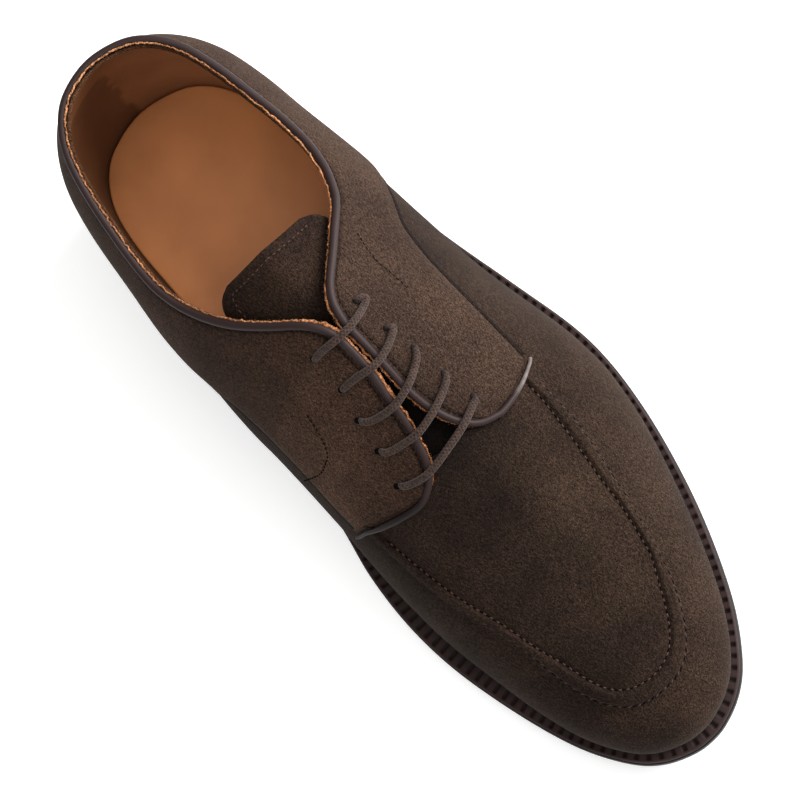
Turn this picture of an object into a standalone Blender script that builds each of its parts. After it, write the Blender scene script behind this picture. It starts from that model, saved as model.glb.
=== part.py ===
"""Left blucher with a raised apron seam: its solids, worked out in millimetres and built in metres."""

import math

import bmesh
import bpy
import numpy as np

MM = 0.001
GAP = 0.3
LAID = 0.5
SIDES = ("lateral", "medial")
SIGN = {"lateral": 1.0, "medial": -1.0}
COLLECTION = "blucher"


def table(columns, *rows):
    """Rows of numbers as named columns."""
    return dict(zip(columns.split(), np.array(rows, float).T))


# Thickness of the pieces
OUTSOLE = 5.5
WELT = 3.0
TOP_PIECE = 6.0
INSOLE = 4.6
WALL = 2.0
QUARTER = 1.4
TONGUE = 2.0
BEAD = 3.0
LACE = 3.0

# Places along the shoe, measured from the back of the heel
LENGTH = 298.0
TOE_OFFSET = -1.6
HEEL_BREAST = 79.0
BACK_SEAM = 0.0006
SOLE_RIBS = 44
RIDGE_BACK = 34.0
RIDGE_FRONT = 258.0
THROAT = 182.5
TONGUE_TOP = 98.6
TONGUE_BOW = 6.7
TONGUE_SPAN = 28.5
TONGUE_ROUND = 0.66
TONGUE_DROP = 4.5
TONGUE_ROOT = 200.0
QUARTER_FRONT = {"lateral": 183.9, "medial": 188.4}
QUARTER_CORNER = {"lateral": 9.2, "medial": 12.0}
THROAT_HALF = {"lateral": 11.0, "medial": 8.0}

# Outline of the sole from above: half width of each side and how far the welt stands out
SOLE = table(
    "length lateral medial lateral_welt medial_welt",
    (4.0, 17.5, 17.0, 3.0, 3.0),
    (12.0, 28.0, 27.2, 3.0, 3.0),
    (24.0, 34.8, 33.8, 3.0, 3.0),
    (40.0, 38.2, 36.8, 3.0, 3.0),
    (60.0, 40.4, 37.6, 3.0, 3.0),
    (85.0, 44.6, 37.9, 3.2, 2.6),
    (110.0, 49.1, 38.6, 3.6, 2.6),
    (135.0, 54.6, 41.6, 4.4, 4.0),
    (160.0, 59.5, 46.4, 4.8, 5.8),
    (178.0, 60.3, 49.9, 5.0, 6.6),
    (198.0, 58.0, 51.2, 5.0, 6.8),
    (218.0, 53.6, 49.8, 5.0, 6.8),
    (238.0, 47.6, 45.7, 5.0, 6.6),
    (258.0, 39.7, 39.9, 5.0, 6.0),
    (273.0, 32.1, 33.8, 5.0, 5.5),
    (286.0, 22.8, 25.6, 5.0, 5.2),
    (293.0, 14.6, 17.9, 5.0, 5.0),
    (297.0, 5.6, 8.8, 5.0, 5.0),
)

# Height of the underside of the outsole: heel seat, arch, flat tread and toe spring
UNDERSIDE = table(
    "length height",
    (0.0, 23.0),
    (40.0, 22.0),
    (79.0, 19.4),
    (102.0, 13.2),
    (125.0, 6.0),
    (147.0, 1.5),
    (166.0, 0.0),
    (216.0, 0.0),
    (250.0, 1.8),
    (275.0, 5.0),
    (298.0, 10.0),
)

# Ridge of the last: height above the floor and sideways offset
RIDGE = table(
    "length height offset",
    (34.0, 121.0, 0.0),
    (75.0, 119.0, 0.0),
    (99.0, 114.0, 0.0),
    (110.0, 110.5, 0.0),
    (122.0, 106.5, 0.2),
    (138.0, 100.0, 1.0),
    (155.0, 91.0, 1.0),
    (172.0, 81.0, 1.0),
    (187.0, 72.5, 0.8),
    (205.0, 63.5, 0.4),
    (222.0, 56.3, 0.6),
    (240.0, 50.3, 0.6),
    (258.0, 46.0, -0.4),
)

# Ribs of the last: how far each side bellies out, how high, and how roof-like the crown is
FORM = table(
    "length lateral_belly medial_belly lateral_rise medial_rise lateral_crown medial_crown",
    (0.0, 2.2, 2.2, 22.0, 22.0, 0.80, 0.80),
    (20.0, 3.0, 3.0, 22.0, 22.0, 0.82, 0.82),
    (40.0, 3.4, 4.0, 22.5, 22.5, 0.86, 0.86),
    (60.0, 3.6, 5.6, 23.0, 23.0, 0.92, 0.92),
    (85.0, 3.0, 7.6, 23.5, 23.5, 1.00, 1.00),
    (110.0, 1.4, 8.0, 21.5, 23.5, 0.95, 0.95),
    (122.0, 0.6, 7.8, 18.0, 22.5, 0.90, 0.90),
    (135.0, 0.2, 6.6, 12.5, 20.5, 0.80, 0.80),
    (155.0, 0.5, 4.4, 9.5, 17.0, 0.70, 0.69),
    (172.0, 1.4, 2.4, 9.5, 13.5, 0.63, 0.61),
    (187.0, 2.3, 1.2, 10.5, 11.5, 0.59, 0.56),
    (205.0, 2.4, 0.6, 10.0, 10.0, 0.54, 0.51),
    (230.0, 1.9, 0.9, 9.0, 9.0, 0.50, 0.48),
    (258.0, 2.1, 1.9, 8.5, 8.5, 0.47, 0.46),
    (280.0, 2.4, 2.3, 8.5, 8.5, 0.44, 0.44),
    (294.0, 1.8, 1.8, 8.5, 8.5, 0.43, 0.43),
)

# Topline of the collar: height above the floor against the length at the feather line
COLLAR = table(
    "length height",
    (0.0, 97.5),
    (12.0, 96.3),
    (26.0, 93.5),
    (42.0, 90.2),
    (53.0, 88.0),
    (64.5, 86.0),
    (76.5, 85.2),
    (88.0, 86.0),
    (99.3, 88.5),
    (111.0, 93.6),
)

# Facing edges: distance of each from the ridge, seen from above
FACING = table(
    "length lateral medial",
    (104.0, 24.6, 25.2),
    (108.0, 21.9, 22.7),
    (112.0, 18.8, 20.0),
    (118.0, 13.8, 15.4),
    (122.0, 10.2, 12.0),
    (126.0, 6.8, 8.3),
    (132.0, 3.5, 3.7),
    (138.0, 2.4, 1.3),
    (142.0, 2.5, 0.9),
    (147.0, 2.7, 0.9),
    (152.0, 2.8, 1.2),
    (161.0, 2.8, 2.7),
    (167.0, 3.4, 3.5),
    (173.0, 5.1, 4.9),
    (180.0, 9.2, 7.1),
    (183.0, 13.8, 8.7),
    (183.9, 19.0, 9.4),
    (187.6, 20.0, 14.8),
    (188.4, 20.0, 18.0),
)

# Lower edge of each quarter: height over the floor by the distance behind its front
QUARTER_EDGE = table(
    "behind lateral medial",
    (0.0, 69.7, 67.4),
    (0.6, 68.7, 66.1),
    (1.8, 67.2, 64.2),
    (4.0, 64.9, 60.7),
    (6.7, 62.6, 56.4),
    (9.2, 60.8, 52.7),
    (12.0, 61.4, 46.7),
    (20.0, 63.5, 47.3),
    (33.0, 65.6, 51.2),
    (46.0, 67.4, 54.9),
    (66.0, 68.8, 58.8),
    (80.0, 62.8, 54.8),
    (96.0, 51.2, 46.8),
    (116.0, 40.0, 38.8),
    (132.0, 33.6, 33.2),
    (144.0, 32.2, 32.0),
)
QUARTER_LOWEST = -0.96

# Apron seam: inner and outer foot of its ridge, as shares of the reach of each rib
APRON = table(
    "length lateral_in lateral_out medial_in medial_out",
    (181.0, 0.573, 0.626, 0.775, 0.820),
    (190.0, 0.583, 0.645, 0.748, 0.795),
    (200.0, 0.583, 0.662, 0.720, 0.775),
    (215.0, 0.583, 0.660, 0.672, 0.735),
    (230.0, 0.600, 0.662, 0.606, 0.676),
    (243.0, 0.600, 0.662, 0.568, 0.647),
    (255.0, 0.552, 0.664, 0.515, 0.645),
    (264.0, 0.520, 0.652, 0.503, 0.644),
    (275.0, 0.496, 0.640, 0.496, 0.641),
    (285.0, 0.470, 0.624, 0.468, 0.620),
    (290.0, 0.453, 0.610, 0.448, 0.603),
    (293.0, 0.438, 0.583, 0.438, 0.583),
)
APRON_HEIGHT = 1.2
APRON_FADE = (184.0, 192.0)

# Tongue: half width along the ridge
TONGUE_HALF = table(
    "length half",
    (98.6, 20.0),
    (100.3, 24.0),
    (101.9, 26.0),
    (104.5, 27.6),
    (108.0, 28.5),
    (125.0, 27.0),
    (145.0, 24.0),
    (165.0, 20.5),
    (200.0, 17.0),
)

# Eyelets of each quarter: length of the rib and place on it
EYELETS = table(
    "lateral_length lateral_place medial_length medial_place",
    (133.5, 0.769, 137.3, 0.735),
    (144.9, 0.777, 149.1, 0.752),
    (153.9, 0.763, 158.2, 0.725),
    (164.8, 0.768, 168.2, 0.712),
    (175.1, 0.760, 179.0, 0.684),
)

COLOURS = {
    "outsole": (0.012, 0.010, 0.009),
    "heel": (0.014, 0.011, 0.010),
    "heel_top_piece": (0.010, 0.010, 0.010),
    "welt": (0.030, 0.018, 0.016),
    "insole": (0.36, 0.17, 0.085),
    "upper": (0.055, 0.040, 0.029),
    "quarter_lateral": (0.055, 0.040, 0.029),
    "quarter_medial": (0.055, 0.040, 0.029),
    "binding": (0.036, 0.023, 0.022),
    "tongue": (0.040, 0.029, 0.021),
    "lace": (0.065, 0.050, 0.043),
}


# Curves and tables
def smooth(x, xs, ys):
    """Monotone cubic through the rows of a table, held level beyond its ends."""
    step = np.diff(xs)
    slope = np.diff(ys) / step
    safe = np.where(slope == 0, 1.0, slope)
    after = 2 * step[1:] + step[:-1]
    before = step[1:] + 2 * step[:-1]
    turn = after / safe[:-1] + before / safe[1:]
    mean = (after + before) / np.where(turn == 0, 1.0, turn)
    inner = np.where(slope[:-1] * slope[1:] > 0, mean, 0.0)
    tangent = np.concatenate(([slope[0]], inner, [slope[-1]]))
    x = np.clip(x, xs[0], xs[-1])
    i = np.clip(np.searchsorted(xs, x, side="right") - 1, 0, len(xs) - 2)
    t = (x - xs[i]) / step[i]
    rise = (3 - 2 * t) * t * t
    lead = t * (1 - t) ** 2 * step[i] * tangent[i]
    trail = t * t * (t - 1) * step[i] * tangent[i + 1]
    return ys[i] + (ys[i + 1] - ys[i]) * rise + lead + trail


def ramp(x, start, end):
    """Smooth step from 0 to 1."""
    t = np.clip((x - start) / (end - start), 0, 1)
    return t * t * (3 - 2 * t)


def closed_spline(points, fine=40):
    """Catmull-Rom curve through a closed row of points."""
    points = np.array(points, float)
    before, after, later = np.roll(points, 1, 0), np.roll(points, -1, 0), np.roll(points, -2, 0)
    t = (np.arange(fine) / fine)[None, :, None]
    a, b, c, d = (p[:, None, :] for p in (before, points, after, later))
    curve = b + 0.5 * t * (c - a + t * (2 * a - 5 * b + 4 * c - d + t * (3 * (b - c) + d - a)))
    return curve.reshape(-1, points.shape[1])


def by_share(curve):
    """Share of the arc length at each point of a curve."""
    run = np.concatenate(([0.0], np.cumsum(np.linalg.norm(np.diff(curve, axis=0), axis=1))))
    return run / run[-1]


def sole_sides():
    """Edge of the sole of each side from toe tip to heel, and the feather line inside it."""
    lateral = np.column_stack((SOLE["length"], SOLE["lateral"]))
    medial = np.column_stack((SOLE["length"], -SOLE["medial"]))
    curve = closed_spline([(LENGTH, TOE_OFFSET), *lateral[::-1], (0.0, 0.0), *medial])
    heel = curve[:, 0].argmin()
    halves = {"lateral": curve[: heel + 1], "medial": np.vstack((curve[heel:], curve[:1]))[::-1]}
    edges, feathers = {}, {}
    for side, half in halves.items():
        out = outward(side, half)
        welt = smooth(half[:, 0], SOLE["length"], SOLE[side + "_welt"])
        inset = half - out * welt[:, None]
        edges[side] = np.column_stack((by_share(half), half, out))
        feathers[side] = np.column_stack((by_share(inset), inset, out))
    return edges, feathers


def outward(side, half):
    """Outward direction at each point of one half of the outline, straight ahead at its two ends."""
    along = np.gradient(half, axis=0)
    out = np.column_stack((along[:, 1], -along[:, 0])) * SIGN[side]
    out[0] = (1.0, 0.0)
    out[-1] = (-1.0, 0.0)
    return out / np.linalg.norm(out, axis=1)[:, None]


def on_curve(curve, share):
    """Length, width and outward direction of a curve at a share of its own length."""
    return [np.interp(share, curve[:, 0], curve[:, k]) for k in (1, 2, 3, 4)]


EDGE, FEATHER = sole_sides()


def underside(length):
    return smooth(length, UNDERSIDE["length"], UNDERSIDE["height"])


def sole_top(length):
    return underside(length) + OUTSOLE


# The last
def ridge_length(share):
    """Length of the ridge point of each rib, held back at toe and heel so that the ribs fan out."""
    feet = [on_curve(FEATHER[side], share)[0] for side in SIDES]
    length = (feet[0] + feet[1]) / 2
    front, back = 7.0, 9.0
    length = -front * np.logaddexp(-length / front, -RIDGE_FRONT / front)
    return back * np.logaddexp(length / back, RIDGE_BACK / back)


def rib(side, share):
    """Numbers of each rib, which stands upright over the line from its ridge point to its foot."""
    foot_l, foot_w = on_curve(FEATHER[side], share)[:2]
    ridge_l = ridge_length(share)
    ridge_w = smooth(ridge_l, RIDGE["length"], RIDGE["offset"])
    run = np.hypot(foot_l - ridge_l, foot_w - ridge_w)
    low = sole_top(foot_l) + WELT + 2 * GAP
    belly = smooth(foot_l, FORM["length"], FORM[side + "_belly"])
    return {
        "foot": foot_l,
        "ridge": ridge_l,
        "ridge_w": ridge_w,
        "way_l": (foot_l - ridge_l) / run,
        "way_w": (foot_w - ridge_w) / run,
        "low": low,
        "belly": belly,
        "belly_z": low + smooth(foot_l, FORM["length"], FORM[side + "_rise"]),
        "top": smooth(ridge_l, RIDGE["length"], RIDGE["height"]),
        "reach": run + belly,
        "crown": smooth(foot_l, FORM["length"], FORM[side + "_crown"]),
    }


def last(side, share, place, crown=None):
    """Points of the last: place is -1 at the feather line, 0 at the belly and 1 at the ridge."""
    r = rib(side, share)
    crown = r["crown"] if crown is None else crown
    drop = np.clip(-place, 0, 1)
    turn = np.clip(place, 0, 1) * math.pi / 2
    below = r["reach"] - r["belly"] * drop**2.2
    above = r["reach"] * np.maximum(np.cos(turn), 0.0) ** (2 * crown)
    out = np.where(place < 0, below, above)
    fall = r["belly_z"] - (r["belly_z"] - r["low"]) * drop
    climb = r["belly_z"] + (r["top"] - r["belly_z"]) * np.sin(turn)
    height = np.where(place < 0, fall, climb)
    return np.stack((r["ridge"] + r["way_l"] * out, r["ridge_w"] + r["way_w"] * out, height), -1)


def skin(side, share, place, offset, crown=None):
    """Points of the last moved out along its normal."""
    share, place, offset = np.broadcast_arrays(*(np.asarray(v, float) for v in (share, place, offset)))
    step = 1e-3
    ahead = last(side, np.minimum(share + step, 1), place, crown)
    behind = last(side, np.maximum(share - step, 0), place, crown)
    upper = last(side, share, np.minimum(place + step, 1), crown)
    lower = last(side, share, np.maximum(place - step, -1), crown)
    normal = np.cross(ahead - behind, upper - lower) * SIGN[side]
    normal /= np.linalg.norm(normal, axis=-1)[..., None]
    return last(side, share, place, crown) + normal * offset[..., None]


def place_at_reach(side, share, out, crown=None):
    """Place on each rib at a distance from the ridge, seen from above."""
    r = rib(side, share)
    crown = r["crown"] if crown is None else crown
    return np.arccos(np.clip(out / r["reach"], 0, 1) ** (0.5 / crown)) * 2 / math.pi


def place_at_height(side, share, height):
    """Place on each rib at a height over the floor."""
    r = rib(side, share)
    over = height - r["belly_z"]
    climb = np.arcsin(np.clip(over / (r["top"] - r["belly_z"]), 0, 1)) * 2 / math.pi
    return np.where(over > 0, climb, over / (r["belly_z"] - r["low"]))


def rim(side, share, back=0.0, limit=None):
    """Place on each rib of the topline and, further on, of the facing edge, moved back along it."""
    r = rib(side, share)
    height = smooth(r["foot"], COLLAR["length"], COLLAR["height"]) - back
    by_height = np.maximum(place_at_height(side, share, height), 0.0)
    gap = smooth(r["ridge"], FACING["length"], FACING[side]) + back
    if limit is not None:
        gap = np.where(r["ridge"] > 170.0, np.minimum(gap, limit), gap)
    by_gap = place_at_reach(side, share, gap)
    mix = ramp(r["ridge"], 100.0, 111.0)
    return by_height * (1 - mix) + by_gap * mix


def apron(side, share, foot):
    """Place on each rib of the inner or outer foot of the apron ridge."""
    r = rib(side, share)
    out = smooth(r["foot"], APRON["length"], APRON[side + foot]) * r["reach"]
    return place_at_reach(side, share, out)


SHARES = np.linspace(0, 1, 2001)
RIDGE_AT = ridge_length(SHARES)


def share_at(length):
    """Share of the rib whose ridge point lies at a length."""
    return np.interp(-np.asarray(length, float), -RIDGE_AT, SHARES)


# Solids
def solid(name, points, faces, kind):
    """One closed object of the shoe, from points as length, width and height in millimetres."""
    mesh = bpy.data.meshes.new(name)
    turned = [(w * MM, -l * MM, h * MM) for l, w, h in points]
    mesh.from_pydata(turned, [], [list(f) for f in faces])
    shape = bmesh.new()
    shape.from_mesh(mesh)
    bmesh.ops.remove_doubles(shape, verts=shape.verts, dist=0.02 * MM)
    bmesh.ops.recalc_face_normals(shape, faces=shape.faces)
    bmesh.ops.triangulate(shape, faces=[f for f in shape.faces if len(f.verts) > 3])
    shape.to_mesh(mesh)
    shape.free()
    thing = bpy.data.objects.new(name, mesh)
    bpy.data.collections[COLLECTION].objects.link(thing)
    material = bpy.data.materials.new(name)
    material.use_nodes = True
    shader = material.node_tree.nodes["Principled BSDF"]
    shader.inputs["Base Color"].default_value = (*COLOURS[kind], 1.0)
    shader.inputs["Roughness"].default_value = 0.8
    mesh.materials.append(material)
    return thing


def shell(name, outer, inner, faces, kind):
    """Closed solid of an outer sheet, the same sheet moved inwards and a rim between them."""
    count = len(outer)
    edges = {(a, b) for f in faces for a, b in zip(f, f[1:] + f[:1])}
    walls = [(b, a, a + count, b + count) for a, b in sorted(edges) if (b, a) not in edges]
    back = [tuple(v + count for v in reversed(f)) for f in faces]
    return solid(name, np.vstack((outer, inner)), list(faces) + back + walls, kind)


def sheet(name, outer, inner, kind):
    """Shell over a grid of points."""
    rows, columns = outer.shape[:2]
    at = np.arange(rows * columns).reshape(rows, columns)
    faces = [
        (at[i, j], at[i + 1, j], at[i + 1, j + 1], at[i, j + 1])
        for i in range(rows - 1)
        for j in range(columns - 1)
    ]
    return shell(name, outer.reshape(-1, 3), inner.reshape(-1, 3), faces, kind)


def slab(name, layers, kind):
    """Closed solid of stacked outlines, each given as its lateral and its medial edge."""
    loops = [np.vstack((lateral, medial[::-1])) for lateral, medial in layers]
    count = len(loops[0])
    half = count // 2
    faces = []
    for k in range(len(loops) - 1):
        for i in range(count):
            j = (i + 1) % count
            faces.append((k * count + i, k * count + j, (k + 1) * count + j, (k + 1) * count + i))
    for k in (0, len(loops) - 1):
        for i in range(half - 1):
            faces.append(tuple(k * count + v for v in (i, i + 1, count - 2 - i, count - 1 - i)))
    return solid(name, np.vstack(loops), faces, kind)


def ring(name, loops, kind):
    """Closed band through a ring of closed outlines."""
    count = len(loops[0])
    total = count * len(loops)
    faces = []
    for k in range(len(loops)):
        for i in range(count):
            j = (i + 1) % count
            a, b = k * count, (k + 1) * count % total
            faces.append((a + i, a + j, b + j, b + i))
    return solid(name, np.vstack(loops), faces, kind)


def tube(name, path, width, kind, sides=6):
    """Round cord along a path, closed at both ends."""
    path = np.array(path, float)
    along = np.gradient(path, axis=0)
    along /= np.linalg.norm(along, axis=1)[:, None]
    across = np.cross(along, (0.0, 0.0, 1.0))
    across /= np.linalg.norm(across, axis=1)[:, None]
    above = np.cross(across, along)
    turns = np.arange(sides) * 2 * math.pi / sides
    loops = [
        p + width / 2 * (np.cos(turns)[:, None] * a + np.sin(turns)[:, None] * b)
        for p, a, b in zip(path, across, above)
    ]
    faces = []
    for k in range(len(loops) - 1):
        for i in range(sides):
            j = (i + 1) % sides
            faces.append((k * sides + i, k * sides + j, (k + 1) * sides + j, (k + 1) * sides + i))
    faces.append(tuple(range(sides)))
    faces.append(tuple(range((len(loops) - 1) * sides, len(loops) * sides)))
    return solid(name, np.vstack(loops), faces, kind)


# Sole
def plan_rows(curves, shares, inset, height):
    """Rows of each side, moved in from a closed curve, at a height worked out from their length."""
    rows = []
    for side in SIDES:
        length, width, out_l, out_w = on_curve(curves[side], shares[side])
        length = length - out_l * inset
        rows.append(np.column_stack((length, width - out_w * inset, height(length))))
    return rows


def even_shares(count, start=None):
    """Shares of each side from the toe, or from a place further back, to the heel."""
    start = start or {side: 0.0 for side in SIDES}
    return {side: np.linspace(start[side], 1, count) for side in SIDES}


def make_outsole():
    shares = even_shares(SOLE_RIBS)
    layers = [
        plan_rows(EDGE, shares, 1.2, underside),
        plan_rows(EDGE, shares, 0.2, lambda l: underside(l) + 1.0),
        plan_rows(EDGE, shares, 0.0, lambda l: underside(l) + 3.0),
        plan_rows(EDGE, shares, 0.2, sole_top),
    ]
    slab("outsole", layers, "outsole")


def make_welt():
    shares = even_shares(SOLE_RIBS)
    loops = []
    corners = ((EDGE, 0.9, 0.0), (EDGE, 0.7, WELT), (FEATHER, 2.3, WELT), (FEATHER, 2.3, 0.0))
    for curves, inset, lift in corners:
        lateral, medial = plan_rows(curves, shares, inset, lambda l: sole_top(l) + GAP + lift)
        loops.append(np.vstack((lateral, medial[-2:0:-1])))
    ring("welt", loops, "welt")


def make_insole():
    shares = even_shares(SOLE_RIBS)
    layers = [
        plan_rows(FEATHER, shares, 2.6, lambda l: sole_top(l) + GAP),
        plan_rows(FEATHER, shares, 2.6, lambda l: sole_top(l) + GAP + INSOLE),
    ]
    slab("insole", layers, "insole")


def heel_rows(inset, height):
    """Outline of the heel from its breast to the back."""
    start = {side: np.interp(-HEEL_BREAST, -EDGE[side][:, 1], EDGE[side][:, 0]) for side in SIDES}
    return plan_rows(EDGE, even_shares(14, start), inset, height)


def make_heel():
    layers = [
        heel_rows(3.4, lambda l: np.full_like(l, TOP_PIECE + GAP)),
        heel_rows(1.6, lambda l: underside(l) - GAP),
    ]
    slab("heel", layers, "heel")
    piece = [
        heel_rows(3.8, np.zeros_like),
        heel_rows(3.4, lambda l: np.full_like(l, TOP_PIECE)),
    ]
    slab("heel_top_piece", piece, "heel_top_piece")


# Upper
def upper_rows(side, shares):
    """Places of the grid lines on each rib and how far each stands out for the apron seam."""
    behind = share_open(shares)
    end = np.where(behind, rim(side, shares, limit=THROAT_HALF[side]), 1.0)
    outer = np.where(behind, end * 0.45, apron(side, shares, "_out"))
    inner = np.where(behind, end * 0.6, apron(side, shares, "_in"))
    rows = [np.full_like(end, p) for p in (-1.0, -0.65, -0.3, 0.0)]
    rows.extend(outer * t for t in (0.5, 1.0))
    rows.extend(outer + (inner - outer) * t for t in (0.4, 0.75, 1.0))
    rows.extend(inner + (end - inner) * t for t in (0.25, 0.5, 0.75, 1.0))
    lift = np.zeros((len(rows), len(shares)))
    fade = ramp(rib(side, shares)["ridge"], *APRON_FADE)
    lift[6] = APRON_HEIGHT * fade
    lift[7] = APRON_HEIGHT * fade
    return np.array(rows).T, lift.T


def share_open(shares):
    """Whether each rib lies behind the throat, where the upper is open on top."""
    return ridge_length(shares) < THROAT - 0.01


def upper_shares():
    """Ribs of the upper, one of them at the throat."""
    throat = float(share_at(THROAT))
    return np.concatenate((np.linspace(0, throat, 21), np.linspace(throat, 1, 26)[1:]))


def make_upper():
    shares = upper_shares()
    outer, inner, faces, index = [], [], [], {}
    for side in SIDES:
        places, lift = upper_rows(side, shares)
        grid = skin(side, shares[:, None], places, lift)
        under = skin(side, shares[:, None], places, -WALL)
        columns, rows = places.shape
        at = np.zeros((columns, rows), int)
        for i in range(columns):
            for j in range(rows):
                shared = i in (0, columns - 1) or (j == rows - 1 and not share_open(shares)[i])
                key = (i, j) if shared else (side, i, j)
                if key not in index:
                    index[key] = len(outer)
                    outer.append(grid[i, j])
                    inner.append(under[i, j])
                at[i, j] = index[key]
        for i in range(columns - 1):
            for j in range(rows - 1):
                face = (at[i, j], at[i + 1, j], at[i + 1, j + 1], at[i, j + 1])
                face = tuple(dict.fromkeys(face))
                faces.append(face if side == "lateral" else face[::-1])
    shell("upper", np.array(outer), np.array(inner), faces, "upper")


def quarter_low(side, share, back=0.0):
    """Place on each rib of the lower edge of a quarter, moved back along the shoe."""
    behind = QUARTER_FRONT[side] - ridge_length(share) - back
    height = smooth(behind, QUARTER_EDGE["behind"], QUARTER_EDGE[side])
    return np.maximum(place_at_height(side, share, height), QUARTER_LOWEST)


def quarter_shares(side, back):
    """Ribs of a quarter: some round its nose, then those of the upper as far as the seam at the back."""
    ends = [QUARTER_FRONT[side], QUARTER_FRONT[side] - QUARTER_CORNER[side]]
    front, corner = (float(share_at(end - back)) for end in ends)
    ribs = upper_shares()
    ribs[-1] = 1 - BACK_SEAM
    return np.unique(np.concatenate((np.linspace(front, corner, 6), ribs[ribs > front])))


def make_quarters():
    edge = BEAD / 2 + GAP + 1.0
    nose = edge + 1.2
    for side in SIDES:
        shares = quarter_shares(side, nose)
        low = quarter_low(side, shares, nose)
        top = np.maximum(rim(side, shares, edge), low + 0.03)
        middle = np.maximum(low + (top - low) * 0.35, 0.0)
        rows = [low + (middle - low) * t for t in (0.0, 0.33, 0.67)]
        rows.extend(middle + (top - middle) * t for t in np.linspace(0, 1, 7))
        places = np.array(rows).T
        outer = skin(side, shares[:, None], places, LAID + QUARTER)
        inner = skin(side, shares[:, None], places, LAID)
        sheet("quarter_" + side, outer, inner, "quarter_" + side)


def bead_path(side):
    """Path of the binding from the corner of a quarter round its front and along its top edge."""
    front = float(share_at(QUARTER_FRONT[side]))
    corner = float(share_at(QUARTER_FRONT[side] - QUARTER_CORNER[side]))
    lift = GAP + BEAD / 2
    up = np.linspace(corner, front, 12)
    low = skin(side, up, quarter_low(side, up), lift)
    shares = front + (1 - front) * np.linspace(0, 1, 60) ** 1.5
    top = skin(side, shares, rim(side, shares), lift)
    return np.vstack((low, top[1:]))


def even(path, count):
    """Path made again from points at equal distances, smoothed."""
    share = by_share(path)
    at = np.linspace(0, 1, count)
    path = np.column_stack([np.interp(at, share, path[:, k]) for k in range(3)])
    for _ in range(2):
        path[1:-1] = (path[:-2] + 2 * path[1:-1] + path[2:]) / 4
    return path


def make_binding():
    lateral, medial = bead_path("lateral"), bead_path("medial")
    path = np.vstack((lateral, medial[-2::-1]))
    tube("binding", even(path, 130), BEAD, "binding")


def tongue_point(length, out):
    """Sheet of the tongue under the facings, rounder and lower toward its free top."""
    side = "lateral" if out >= 0 else "medial"
    share = np.array(float(share_at(length)))
    own = rib(side, share)["crown"]
    crown = TONGUE_ROUND + (own - TONGUE_ROUND) * ramp(length, 135.0, 155.0)
    drop = TONGUE_DROP * (1 - ramp(length, 120.0, 165.0))
    place = place_at_reach(side, share, abs(out), crown)
    return [skin(side, share, place, -WALL - GAP - drop - depth, crown) for depth in (0.0, TONGUE)]


def make_tongue():
    """Sheet with its top edge bowed forward in the middle."""
    grid = []
    for run in np.linspace(0, 1, 20):
        length = TONGUE_TOP + (TONGUE_ROOT - TONGUE_TOP) * run**1.3
        half = smooth(length, TONGUE_HALF["length"], TONGUE_HALF["half"])
        across = np.linspace(-1, 1, 11)
        bow = TONGUE_BOW * (1 - (half * across / TONGUE_SPAN) ** 2) * (1 - run)
        grid.append([tongue_point(length + b, half * t) for b, t in zip(bow, across)])
    grid = np.array(grid)
    sheet("tongue", grid[:, :, 0], grid[:, :, 1], "tongue")


def make_laces():
    on_quarter = LAID + QUARTER + GAP + LACE / 2
    over_bead = 5 * GAP + BEAD + LACE / 2
    for i in range(len(EYELETS["lateral_length"])):
        ends = {}
        for side in SIDES:
            share = float(share_at(EYELETS[side + "_length"][i]))
            place = EYELETS[side + "_place"][i]
            edge = float(rim(side, np.array(share)))
            steps = ((place, on_quarter), ((place + edge) / 2, on_quarter + 1.2), (edge, over_bead))
            ends[side] = [skin(side, share, p, lift) for p, lift in steps]
        path = np.array(ends["medial"] + ends["lateral"][::-1])
        tube(f"lace_bar_{i + 1}", even(path, 10), LACE, "lace")


def centre():
    """Move the shoe so that the middle of its box stands on the origin."""
    things = bpy.data.collections[COLLECTION].objects
    points = np.array([v.co for thing in things for v in thing.data.vertices])
    low, high = points.min(0), points.max(0)
    middle = (low + high) / 2
    for thing in things:
        for vertex in thing.data.vertices:
            vertex.co.x -= middle[0]
            vertex.co.y -= middle[1]
            vertex.co.z -= low[2]
    print("centred by", middle[0] / MM, middle[1] / MM, low[2] / MM, "size", (high - low) / MM)


def main():
    for thing in list(bpy.data.objects):
        bpy.data.objects.remove(thing)
    collection = bpy.data.collections.new(COLLECTION)
    bpy.context.scene.collection.children.link(collection)
    make_outsole()
    make_heel()
    make_welt()
    make_insole()
    make_upper()
    make_quarters()
    make_binding()
    make_tongue()
    make_laces()
    centre()


main()
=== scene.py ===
"""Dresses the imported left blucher: suede, bound edges, laces, stitches, notched welt and light."""

import math

import bmesh
import bpy
import numpy as np
from mathutils import Matrix, Vector


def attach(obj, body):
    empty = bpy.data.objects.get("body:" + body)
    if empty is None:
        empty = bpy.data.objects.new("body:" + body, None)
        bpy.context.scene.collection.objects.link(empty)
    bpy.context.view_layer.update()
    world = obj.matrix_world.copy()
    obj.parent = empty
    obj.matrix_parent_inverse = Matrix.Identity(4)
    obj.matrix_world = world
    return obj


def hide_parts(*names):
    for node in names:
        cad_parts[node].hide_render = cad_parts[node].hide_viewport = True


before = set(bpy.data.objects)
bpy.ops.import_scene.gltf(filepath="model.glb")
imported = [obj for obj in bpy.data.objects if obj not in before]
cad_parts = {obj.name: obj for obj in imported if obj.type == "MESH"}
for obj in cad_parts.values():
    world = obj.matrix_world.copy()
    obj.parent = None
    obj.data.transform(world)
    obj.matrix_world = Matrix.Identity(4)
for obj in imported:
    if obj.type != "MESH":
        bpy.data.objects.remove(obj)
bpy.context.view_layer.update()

GAP = 0.3
LAID = 0.5
SIDES = ("lateral", "medial")
SIGN = {"lateral": 1.0, "medial": -1.0}
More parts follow.
